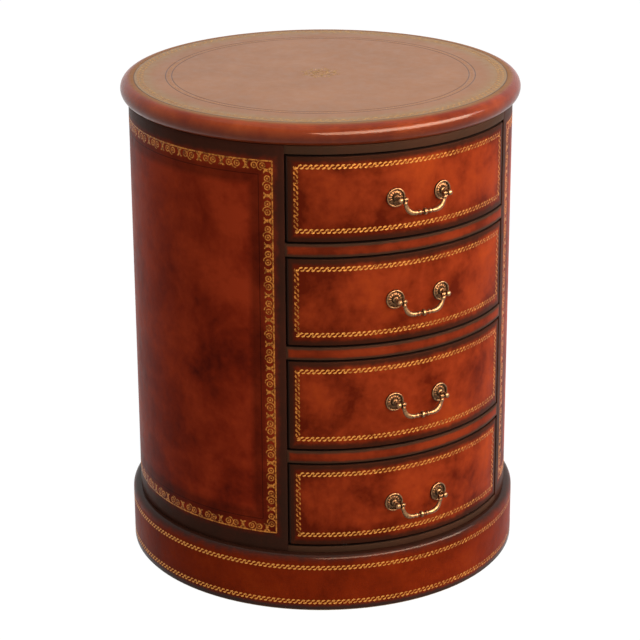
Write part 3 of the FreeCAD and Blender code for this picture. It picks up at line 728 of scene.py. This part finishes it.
chain = chain_link("chain_link")
# This gilding also covers the drawer frames' uprights, where its dullness is painted shade for their
# weaker glint.
chain_gilding = gilding("gold leaf, tooled, rubbed and painted dull", "DE8C3C", "6A2A0E", worn=0.47)
for side, (left, right) in panels.items():
    # The sinks darken the hide further in at the foot and at the top; at the top this is painted
    # shade under the rim.
    sinks = (CHAIN_FOOT - wall_low - CHAIN_INSET, wall_high - CHAIN_TOP - CHAIN_INSET)
    bm = bent_hide(left, right, wall_low, wall_high, drum_radius, sinks=sinks)
    side_hide = make_piece(bm, f"{side}_hide", side_leather)
    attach(side_hide, "case")
    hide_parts(f"{side}_leather")

    bm = bmesh.new()
    inside = (left + CHAIN_INSET, right - CHAIN_INSET)
    for start, end in (
        ((inside[0], CHAIN_TOP), (inside[1], CHAIN_TOP)),
        ((inside[1], CHAIN_FOOT), (inside[0], CHAIN_FOOT)),
        ((inside[0], CHAIN_FOOT), (inside[0], CHAIN_TOP)),
        ((inside[1], CHAIN_TOP), (inside[1], CHAIN_FOOT)),
    ):
        run_border(bm, chain, start, end, CHAIN_PITCH)
    outer = CHAIN_HALF + CHAIN_LINE
    corners = [
        (inside[0] - outer, CHAIN_TOP + outer),
        (inside[1] + outer, CHAIN_TOP + outer),
        (inside[1] + outer, CHAIN_FOOT - outer),
        (inside[0] - outer, CHAIN_FOOT - outer),
    ]
    for start, end in zip(corners, corners[1:] + corners[:1]):
        run_line(bm, start, end, CHAIN_LINE)
    stand(bm, drum_radius)
    wrap(bm, drum_radius)
    side_tooling = make_piece(bm, f"{side}_tooling", chain_gilding)
    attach(side_tooling, "case")

# Rail hides: narrow strips of cowhide glued over the three rails, the case floor's edge and
# the board above the drawers. Hands have waxed them dark along their edges. The strip above
# the drawers and the strip at the foot are darkened further in; above the drawers this is
# painted shade under the rim.

rail_leather = leather(
    "cowhide, rails", dark="7C2A14", body="A83C1C", pale="BA4C24", wax="4E3A2B", reach=0.004
)
# How far in from both edges the top and foot strips are darkened; under the rim it is painted shade.
DARKENED_OVER = 8 * MM


def merge_into(whole, bm):
    """Adds a finished bmesh to another one."""
    part = bpy.data.meshes.new("part")
    bm.to_mesh(part)
    bm.free()
    whole.from_mesh(part)


strips = [(plinth_high.z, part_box("drawer_4_leather")[0].z - DRAWER_GAP, DARKENED_OVER)]
for lower, upper in ((4, 3), (3, 2), (2, 1)):
    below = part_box(f"drawer_{lower}_leather")[1].z + DRAWER_GAP
    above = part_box(f"drawer_{upper}_leather")[0].z - DRAWER_GAP
    strips.append((below, above, 0))
strips.append((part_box("drawer_1_leather")[1].z + DRAWER_GAP, wall_high, DARKENED_OVER))
whole = bmesh.new()
for low, high, sink in strips:
    bm = bent_hide(-opening_reach, opening_reach, low, high, drum_radius, sinks=(sink, sink))
    merge_into(whole, bm)
rail_hides = make_piece(whole, "rail_hides", rail_leather)
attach(rail_hides, "case")
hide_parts("rail_leather")

# Drawer hides: a sheet of brighter red-brown cowhide glued on each bowed front, with rounded
# edges waxed dark and a gilt frame of slanted leaves. The hide is painted paler towards the
# right as painted light, and the frame's uprights are painted duller as painted shade.

# Painted light: along drift the drawers' hide grows paler towards the right, where the strip lamp
# falls, and a little paler towards the foot.
drawer_leather = leather(
    "cowhide, drawers",
    dark="76230F",
    body="B3401C",
    pale="D0501E",
    wax="42261A",
    reach=0.0085,
    drift=(0.4, 0, -0.1),
)
FRONT_EDGE = 0.9 * MM
DRAWER_SIDE_INSET = 10.3 * MM
DRAWER_TOP_INSET = 12.4 * MM
DRAWER_FOOT_INSET = 14 * MM
for drawer in DRAWERS:
    low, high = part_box(f"drawer_{drawer}_leather")
    reach = drum_radius * math.asin(high.x / drum_radius)
    bm = bent_hide(-reach, reach, low.z, high.z, drum_radius, FRONT_EDGE)
    front_hide = make_piece(bm, f"drawer_{drawer}_hide", drawer_leather)
    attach(front_hide, f"drawer_{drawer}")
    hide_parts(f"drawer_{drawer}_leather")

    bm = bmesh.new()
    side = reach - DRAWER_SIDE_INSET
    top = high.z - DRAWER_TOP_INSET
    foot = low.z + DRAWER_FOOT_INSET
    corners = [(-side, top), (-side, foot), (side, foot), (side, top)]
    for start, end in zip(corners, corners[1:] + corners[:1]):
        before = len(bm.faces)
        run_border(bm, leaves, start, end, LEAF_PITCH)
        # The uprights take the duller gilding: painted shade, as they glint less than the level runs.
        if start[0] == end[0]:
            bm.faces.ensure_lookup_table()
            for face in bm.faces[before:]:
                face.material_index = 1
    stand(bm, drum_radius)
    wrap(bm, drum_radius)
    front_tooling = make_piece(bm, f"drawer_{drawer}_tooling", bright_gilding)
    front_tooling.data.materials.append(chain_gilding)
    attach(front_tooling, f"drawer_{drawer}")

# Handles: cast brass, antiqued dark in the hollows and rubbed bright where hands touch it. A
# dished plate with a beaded sunburst lies behind each post, the post's ball holds the pin of
# the swinging bail, and a nut on the shank holds it from inside.

HANDLE_SPACING = 66 * MM
handle_angle = math.asin(HANDLE_SPACING / 2 / drum_radius)
BRASS_HOLLOW = 6 * MM
BRASS_PIT = 2.5 * MM


def antique_brass(name, bright, dull, tarnish, roughness):
    """Cast brass with tarnish left in its hollows."""
    finish, tree, shader = new_finish(name)
    place = add_node(tree, "ShaderNodeTexCoord").outputs["Object"]
    hollow = add_node(
        tree, "ShaderNodeAmbientOcclusion", {"samples": 8, "Distance": BRASS_HOLLOW}
    ).outputs["AO"]
    spots = add_node(
        tree,
        "ShaderNodeTexNoise",
        {"Scale": 1 / BRASS_PIT, "Detail": 3, "Roughness": 0.6},
        {"Vector": place},
    ).outputs[0]
    rubbed = add_node(
        tree, "ShaderNodeMath", {"operation": "MULTIPLY_ADD", 1: 0.7, 2: 0.45}, {0: spots}
    ).outputs[0]
    rubbed = add_node(
        tree, "ShaderNodeMath", {"operation": "MULTIPLY"}, {0: rubbed, 1: hollow}
    ).outputs[0]
    tone = add_node(
        tree,
        "ShaderNodeValToRGB",
        {"stops": [(0.42, linear(tarnish)), (0.68, linear(dull)), (0.92, linear(bright))]},
        {0: rubbed},
    ).outputs[0]
    sheen = add_node(
        tree, "ShaderNodeMapRange", {1: 0.4, 2: 0.9, 3: roughness + 0.2, 4: roughness}, {0: rubbed}
    ).outputs[0]
    pits = add_node(
        tree, "ShaderNodeBump", {"Strength": 0.3, "Distance": 0.1 * MM}, {"Height": spots}
    ).outputs[0]
    tree.links.new(tone, shader.inputs["Base Color"])
    tree.links.new(sheen, shader.inputs["Roughness"])
    tree.links.new(pits, shader.inputs["Normal"])
    shader.inputs["Metallic"].default_value = 1
    return finish


brass = antique_brass("brass, cast and antiqued", "987654", "573D2A", "150E07", 0.32)


def add_turning(whole, outline, matrix, steps, closed=False, shape=None):
    """Adds a small turned part, drawn in mm about the Z axis, to a bmesh at its place.

    Before that, shape may move its vertices.
    """
    bm = bmesh.new()
    lathe(bm, outline, steps, closed=closed)
    if shape:
        for vert in bm.verts:
            shape(vert)
    bmesh.ops.transform(bm, matrix=matrix @ Matrix.Scale(MM, 4), verts=bm.verts)
    merge_into(whole, bm)


# The outlines of plate and post are (radius, height) in mm, and 0 is the leather's face.
plate_outline = [
    (2.05, 0),
    (12.25, 0),
    (12.25, 1.5),
    (12.0, 2.2),
    (11.5, 2.6),
    (10.9, 2.6),
    (10.4, 2.2),
    (10.1, 1.4),
    (9.9, 0.7),
    (8.8, 0.5),
    (7.6, 0.9),
    (6.6, 1.4),
    (5.9, 1.5),
    (5.2, 1.1),
    (4.8, 1.5),
    (4.3, 2.6),
    (2.05, 2.6),
]
PETALS = 14
PETAL_RELIEF = 0.25
PETAL_INSIDE = 5.5
PETAL_OUTSIDE = 9
PETAL_FLOOR = 0.4


def petals(vert):
    """Raises the dish of a plate into petals."""
    radius = math.hypot(vert.co.x, vert.co.y)
    if PETAL_INSIDE < radius < PETAL_OUTSIDE and vert.co.z > PETAL_FLOOR:
        turn = math.atan2(vert.co.y, vert.co.x)
        vert.co.z += PETAL_RELIEF * math.cos(PETALS * turn)


BACK_DEPTH = 26
post_outline = [
    (0, -BACK_DEPTH),
    (1.7, -BACK_DEPTH),
    (2, -BACK_DEPTH + 0.4),
    (2, 2.6),
    (3.7, 2.6),
    (4, 2.9),
    (4, 3.5),
    (3.5, 4.1),
    (2.5, 4.8),
    (2.2, 6.2),
    (2.4, 7.6),
    (3.0, 8.2),
    (3.0, 8.8),
    (2.5, 9.3),
    (2.3, 10.4),
    (2.5, 11.7),
]
POST_REACH = 15
BALL_RADIUS = 3.7
for rise in range(-42, 91, 12):
    out = BALL_RADIUS * math.cos(math.radians(rise))
    up = BALL_RADIUS * math.sin(math.radians(rise))
    post_outline.append((out, POST_REACH + up))
NUT_RADIUS = 4.5
NUT_DEPTH = 3.1
GLUED_HIDE = 1.5
FRONT_BOARD = 18
NUT_GAP = 0.3
nut_sink = GLUED_HIDE + FRONT_BOARD + NUT_GAP + NUT_DEPTH / 2
# The eyes of the bail turn on the pins, and the grip is a disc between two beads. Both are
# (radius, place along the axis) in mm.
PIN_RADIUS = 1.1
PIN_REACH = 8.5
eye_outline = [
    (1.0, -2.5),
    (2.4, -2.5),
    (2.8, -2.1),
    (2.8, -1.5),
    (2.3, -1.1),
    (3.0, -0.6),
    (3.1, 0),
    (3.0, 0.6),
    (2.3, 1.1),
    (2.8, 1.5),
    (2.8, 2.1),
    (2.4, 2.5),
    (1.0, 2.5),
]
GRIP_HALF = 14.6
half_grip = [
    (4.2, 0.9),
    (3.9, 1.5),
    (2.6, 2.0),
    (1.7, 2.8),
    (1.6, 4.6),
    (2.1, 5.6),
    (2.8, 6.2),
    (3.1, 7.0),
    (3.1, 7.9),
    (2.7, 8.8),
    (2.0, 9.5),
    (1.9, 10.2),
    (2.4, 11.2),
    (2.8, 12.6),
    (2.9, GRIP_HALF),
]
other_half = [(radius, -place) for radius, place in reversed(half_grip)]
grip_outline = [(0, -GRIP_HALF)] + other_half + half_grip + [(0, GRIP_HALF)]
ARM_SIDE = 28
GRIP_DROP = 19
# The centre line of an arm from its eye to the grip, (out, up), with its radius there.
arm_route = (
    ((ARM_SIDE, 0.0), 1.7),
    ((28.3, -2.4), 2.0),
    ((28.3, -3.8), 2.9),
    ((28.1, -5.2), 2.9),
    ((27.6, -6.6), 2.2),
    ((26.2, -10.5), 2.7),
    ((23.0, -15.6), 3.3),
    ((17.5, -18.7), 3.3),
    ((12.5, -GRIP_DROP), 2.4),
)
hinges = [joint for joint in frame["joints"] if joint["type"] == "hinge"]
pivots = {joint["child"]: Vector(joint["pos_m"]) for joint in hinges}
along_pin = Matrix.Rotation(math.pi / 2, 4, "Y")
for drawer in DRAWERS:
    pivot = pivots[f"bail_{drawer}"]
    plates = bmesh.new()
    posts = bmesh.new()
    bail = bmesh.new()
    for side in (-1, 1):
        lean = side * handle_angle
        square = (
            Matrix.Translation((drum_radius * math.sin(lean), -drum_radius * math.cos(lean), pivot.z))
            @ Matrix.Rotation(lean, 4, "Z")
            @ Matrix.Rotation(math.pi / 2, 4, "X")
        )
        add_turning(plates, plate_outline, square, steps=96, closed=True, shape=petals)
        add_turning(posts, post_outline, square, steps=40)
        nut = bmesh.ops.create_cone(
            posts,
            cap_ends=True,
            segments=6,
            radius1=NUT_RADIUS * MM,
            radius2=NUT_RADIUS * MM,
            depth=NUT_DEPTH * MM,
        )
        nut_place = square @ Matrix.Translation((0, 0, -nut_sink * MM))
        bmesh.ops.transform(posts, matrix=nut_place, verts=nut["verts"])
        across = Matrix.Translation(pivot + Vector((side * ARM_SIDE * MM, 0, 0))) @ along_pin
        add_turning(bail, eye_outline, across, steps=32, closed=True)
        pin = bmesh.ops.create_cone(
            bail,
            cap_ends=True,
            segments=16,
            radius1=PIN_RADIUS * MM,
            radius2=PIN_RADIUS * MM,
            depth=PIN_REACH * MM,
        )
        pin_place = across @ Matrix.Translation((0, 0, side * PIN_REACH / 2 * MM))
        bmesh.ops.transform(bail, matrix=pin_place, verts=pin["verts"])
        arm = bpy.data.curves.new("arm", "CURVE")
        arm.dimensions = "3D"
        arm.bevel_depth = MM
        arm.bevel_resolution = 6
        arm.resolution_u = 8
        arm.use_fill_caps = True
        line = arm.splines.new("NURBS")
        line.points.add(len(arm_route) - 1)
        for point, ((out, up), radius) in zip(line.points, arm_route):
            point.co = (*(pivot + Vector((side * out, 0, up)) * MM), 1)
            point.radius = radius
        line.order_u = 3
        line.use_endpoint_u = True
        holder = bpy.data.objects.new("arm", arm)
        bail.from_mesh(bpy.data.meshes.new_from_object(holder))
        bpy.data.objects.remove(holder)
    grip_place = Matrix.Translation(pivot - Vector((0, 0, GRIP_DROP * MM))) @ along_pin
    add_turning(bail, grip_outline, grip_place, steps=32)
    bmesh.ops.recalc_face_normals(bail, faces=bail.faces)
    for bm, name, node, body in (
        (plates, "plates", "rosettes", f"drawer_{drawer}"),
        (posts, "posts", "handle_posts", f"drawer_{drawer}"),
        (bail, "swing", "bail", f"bail_{drawer}"),
    ):
        piece = make_piece(bm, f"drawer_{drawer}_{name}", brass)
        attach(piece, body)
        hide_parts(f"drawer_{drawer}_{node}")

# Top hide: a round sheet of cowhide let in flush, tooled with a faint gilt band inside its
# seam, two blind rings with gilt dots between them, and a small open rosette in the middle.
# Its red-brown is painted tan all over, a painted reflection of the bright room, yellower
# beside the seam, and it has an even satin sheen.

top_low, top_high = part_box("top_leather")
seam_radius = top_high.x
top_height = top_high.z
TOP_RINGS = (201 * MM, 193 * MM)
GROOVE = 0.5 * MM
SEAM_BORDER = 2 * MM
RING_HALF = 0.9 * MM
SEAM_HALF = 1.4 * MM
outline = [(0, top_height)]
for radius in reversed(TOP_RINGS):
    outline.extend(
        [
            (radius - 3 * GROOVE, top_height),
            (radius - GROOVE, top_height),
            (radius, top_height - 0.5 * GROOVE),
            (radius + GROOVE, top_height),
            (radius + 3 * GROOVE, top_height),
        ]
    )
outline.append((seam_radius - SEAM_BORDER, top_height))
seam_corner = len(outline)
outline.extend([(seam_radius, top_height), (seam_radius, top_low.z), (0, top_low.z)])
bm = bmesh.new()
lathe(bm, outline, ROUND_STEPS, {seam_corner: CUT_EDGE}, closed=False)


def top_edges(spot):
    """Only the seam counts as an edge of the round hide."""
    return seam_radius - math.hypot(spot.x, spot.y), ENDLESS, ENDLESS, ENDLESS


map_edges(bm, top_edges)
tooled_lines = [(seam_radius - radius, RING_HALF, 0.7) for radius in TOP_RINGS]
tooled_lines.append((0, SEAM_HALF, 0.8))
# Painted reflection: these tans stand in for the white room reflected off red-brown hide.
top_leather = leather(
    "cowhide, top, painted tan sheen",
    dark="A66834",
    body="AE6E3B",
    pale="B67644",
    wax="A58044",
    reach=0.026,
    depth=0.6,
    lines=tooled_lines,
    relief=0.25,
    shine=0.5,
    tint="FFFFFF",
    gloss=0,
)
top_hide = make_piece(bm, "top_hide", top_leather)
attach(top_hide, "case")
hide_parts("top_leather")

BAND_RADIUS = 234 * MM
BAND_PITCH = 29.4 * MM
DOT_RADIUS = 197 * MM
DOT_PITCH = 4.6 * MM
# The grounds of the top's gilding are the same painted tan.
faint_gilding = gilding("gold leaf, rubbed faint", "D0A050", "AE6E3B", worn=0.54)
rose_gilding = gilding("gold leaf, little rubbed", "DCAE62", "B07C50", worn=0.45)
GILT_DOT = 0.9
bm = bmesh.new()
dot(bm, (0, 0), GILT_DOT)
dots = stamp(bm, "dots")
bm = bmesh.new()
band_leaves = leaf_roll("band_leaves", 1.5)
bands = ((band_leaves, BAND_RADIUS, BAND_PITCH), (dots, DOT_RADIUS, DOT_PITCH))
for pattern, radius, pitch in bands:
    band = bmesh.new()
    run_border(band, pattern, (0, 0), (2 * math.pi * radius, 0), pitch)
    bmesh.ops.translate(band, vec=(0, -radius, top_height), verts=band.verts)
    wrap(band, radius)
    merge_into(bm, band)
ROSE_SCROLLS = 8
rose = bmesh.new()
for index in range(ROSE_SCROLLS):
    spin = Matrix.Rotation(2 * math.pi * index / ROSE_SCROLLS, 4, "Z")
    before = len(rose.verts)
    for bend in (-1, 1):
        stroke(rose, (11, 1.2 * bend), (20, 6.5 * bend), 0.28 * bend, 1.6, 4)
        stroke(rose, (20, 6.5 * bend), (16, 3 * bend), 0.4 * bend, 1.2, 3)
        stroke(rose, (19, 0), (26, 2.2 * bend), -0.2 * bend, 1.4, 3)
    dot(rose, (11, 0), GILT_DOT)
    rose.verts.ensure_lookup_table()
    bmesh.ops.transform(rose, matrix=spin, verts=rose.verts[before:])
ring(rose, (0, 0), 9, 0.8, 32)
rose_stamp = stamp(rose, "rose")
before = len(bm.verts)
faces_before = len(bm.faces)
bm.from_mesh(rose_stamp)
bm.verts.ensure_lookup_table()
bm.faces.ensure_lookup_table()
bmesh.ops.translate(bm, vec=(0, 0, top_height), verts=bm.verts[before:])
for face in bm.faces[faces_before:]:
    face.material_index = 1
top_tooling = make_piece(bm, "top_tooling", faint_gilding)
top_tooling.data.materials.append(rose_gilding)
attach(top_tooling, "case")

# Rim hide: a ring of cowhide drawn wet over the full rounded edge, from the seam on top round
# to where the drum begins, dyed a clear red-brown and polished hardest of all, so that it
# carries one long highlight. By the seam it is painted pale tan as a painted reflection, and
# along its underside painted dark as painted shade.

rim_low, rim_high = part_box("rim_leather")
top_radius = rim_high.x
edge_radius = (rim_high.z - rim_low.z) / 2
edge_centre = Vector((top_radius - edge_radius, (rim_high.z + rim_low.z) / 2))
RIM_TURN_IN = 240.1 * MM
RIM_STEPS = 28


def half_round(radius):
    """Points of the rounded edge from its underside up to its top."""
    turns = [math.pi * (step / RIM_STEPS - 0.5) for step in range(RIM_STEPS + 1)]
    return [
        (edge_centre.x + radius * math.cos(turn), edge_centre.y + radius * math.sin(turn))
        for turn in turns
    ]


outside = half_round(edge_radius)
inside = list(reversed(half_round(edge_radius - HIDE)))
outline = (
    [(RIM_TURN_IN, rim_low.z + HIDE), (RIM_TURN_IN, rim_low.z)]
    + outside
    + [(seam_radius, rim_high.z), (seam_radius, rim_high.z - HIDE)]
    + inside
)
bm = bmesh.new()
lathe(bm, outline, ROUND_STEPS, {2 + len(outside): CUT_EDGE})


def rim_edges(spot):
    """Only the seam counts as an edge: distances round the rim from there."""
    beyond = math.hypot(spot.x, spot.y) - edge_centre.x
    if beyond < 0:
        from_seam = math.hypot(spot.x, spot.y) - seam_radius if spot.z > edge_centre.y else ENDLESS
    else:
        fall = math.pi / 2 - math.atan2(spot.z - edge_centre.y, beyond)
        from_seam = edge_centre.x - seam_radius + fall * edge_radius
    return ENDLESS, ENDLESS, ENDLESS, max(from_seam, 0)


map_edges(bm, rim_edges)
# Painted shade: a broad dark band along the rim's underside, which faces down away from the
# light, placed and sized as shares of its radius.
UNDER_SHARE = 2.4
SHADE_SHARE = 1.4
to_under = edge_centre.x - seam_radius + UNDER_SHARE * edge_radius
under_shade_band = (to_under, SHADE_SHARE * edge_radius, 0.5)
rim_leather = leather(
    "cowhide, rim",
    dark="8E2E0E",
    body="AE4012",
    pale="C8541E",
    # Painted reflection: by the seam the rim takes a pale tan, the bright room's sheen as on the top.
    wax="A87444",
    reach=0.0085,
    drift=(-0.5, 0, 0),
    lines=[under_shade_band],
    relief=0.6,
    shine=0.05,
    gloss=0.5,
    wax_gloss=0.03,
)
rim_hide = make_piece(bm, "rim_hide", rim_leather)
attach(rim_hide, "case")
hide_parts("rim_leather")

# Floor and surroundings: a white paper floor without an end, and a white room behind it. Both
# look white to the camera, in reflections and through glass, but light the table only as much
# as grey paper and a dim room would, so the table's shadow stays on the floor.

FLOOR_SIZE = 12
FLOOR_SHARE = 0.85
FLOOR_GLOW = 1.17
ROOM_LIGHT = 0.2
WHITE = (1, 1, 1, 1)


def seen_rays(tree):
    """1 for a ray that the eye follows to the surface, straight, mirrored or through glass."""
    paths = add_node(tree, "ShaderNodeLightPath").outputs
    seen = add_node(
        tree,
        "ShaderNodeMath",
        {"operation": "MAXIMUM"},
        {0: paths["Is Camera Ray"], 1: paths["Is Glossy Ray"]},
    ).outputs[0]
    return add_node(
        tree, "ShaderNodeMath", {"operation": "MAXIMUM"}, {0: seen, 1: paths["Is Transmission Ray"]}
    ).outputs[0]


bm = bmesh.new()
bmesh.ops.create_grid(bm, x_segments=1, y_segments=1, size=FLOOR_SIZE / 2)
paper, paper_tree, paper_shader = new_finish("white paper")
paper_shader.inputs["Base Color"].default_value = linear("9C9C9C")
paper_shader.inputs["Roughness"].default_value = 0.9
share = add_node(
    paper_tree,
    "ShaderNodeMath",
    {"operation": "MULTIPLY", 1: FLOOR_SHARE},
    {0: seen_rays(paper_tree)},
).outputs[0]
glow = add_node(
    paper_tree, "ShaderNodeEmission", {"Color": WHITE, "Strength": FLOOR_GLOW}
).outputs[0]
mixed = add_node(
    paper_tree, "ShaderNodeMixShader", links={0: share, 1: paper_shader.outputs[0], 2: glow}
).outputs[0]
paper_tree.links.new(mixed, paper_tree.nodes["Material Output"].inputs["Surface"])
floor = make_piece(bm, "floor", paper)

world = bpy.data.worlds.new("white room")
bpy.context.scene.world = world
world.use_nodes = True
background = world.node_tree.nodes["Background"]
background.inputs["Color"].default_value = WHITE
strength = add_node(
    world.node_tree, "ShaderNodeMapRange", {3: ROOM_LIGHT, 4: 1}, {0: seen_rays(world.node_tree)}
).outputs[0]
world.node_tree.links.new(strength, background.inputs["Strength"])

# Lamps: a long strip of light on the right, a wide cloth lamp above, and a long card that only
# shows as a streak in the polish. All are turned from the camera's side of the table and aimed
# at its middle.

CAMERA_TURN = math.radians(-28.77)
CAMERA_PITCH = math.radians(20.02)
CAMERA_DISTANCE = 3.049
CAMERA_TARGET = Vector((-0.0078, 0.0043, 0.325))


def outward(turn, pitch):
    """The direction from the table's middle at a turn from its front and a pitch above level."""
    level = math.cos(pitch)
    return Vector((math.sin(turn) * level, -math.cos(turn) * level, math.sin(pitch)))


# Name, turn from the camera and pitch in degrees, distance, width and height in metres,
# power in watts, colour, and whether it lights the dye too.
LAMPS = (
    ("strip on the right", 60, 30, 2.0, 3.0, 0.4, 27, "FFFFFF", True),
    ("wide cloth above", 0, 90, 2.3, 2.4, 2.4, 18, "FFF8EC", True),
    ("card for the polish", 44, 30, 1.9, 3.4, 0.8, 200, "FFDDBC", False),
)
for name, turn, pitch, distance, width, height, power, tint, lights_dye in LAMPS:
    lamp = bpy.data.lights.new(name, "AREA")
    lamp.shape = "RECTANGLE"
    lamp.size = width
    lamp.size_y = height
    lamp.energy = power
    lamp.color = linear(tint)[:3]
    holder = bpy.data.objects.new(name, lamp)
    way = outward(CAMERA_TURN + math.radians(turn), math.radians(pitch))
    holder.location = CAMERA_TARGET + way * distance
    holder.rotation_euler = way.to_track_quat("Z", "Y").to_euler()
    holder.visible_diffuse = lights_dye
    bpy.context.scene.collection.objects.link(holder)
# A flag keeps the card off the flat top.
card = bpy.data.objects["card for the polish"]
flagged = bpy.data.collections.new("behind the flag")
for piece in (top_hide, top_tooling):
    flagged.objects.link(piece)
for entry in flagged.collection_objects:
    entry.light_linking.link_state = "EXCLUDE"
card.light_linking.receiver_collection = flagged

# Camera: the photograph's view, from the left of the drawers and above. Its place, turn and
# lens come from fitting the outlines of the table to the photograph.

CAMERA_ROLL = math.radians(-0.341)
CAMERA_SHIFT = (0.00805, -0.02367)
SENSOR = 36
FOCAL_PIXELS = 2260.6
FRAME_PIXELS = 640
lens = bpy.data.cameras.new("camera")
lens.sensor_width = SENSOR
lens.lens = FOCAL_PIXELS / FRAME_PIXELS * SENSOR
lens.shift_x, lens.shift_y = CAMERA_SHIFT
camera = bpy.data.objects.new("camera", lens)
way = outward(CAMERA_TURN, CAMERA_PITCH)
turned = (
    Matrix.Rotation(CAMERA_TURN, 4, "Z")
    @ Matrix.Rotation(math.pi / 2 - CAMERA_PITCH, 4, "X")
    @ Matrix.Rotation(CAMERA_ROLL, 4, "Z")
)
camera.matrix_world = Matrix.Translation(CAMERA_TARGET + way * CAMERA_DISTANCE) @ turned
bpy.context.scene.collection.objects.link(camera)
bpy.context.scene.camera = camera
bpy.context.scene.view_settings.view_transform = "Standard"
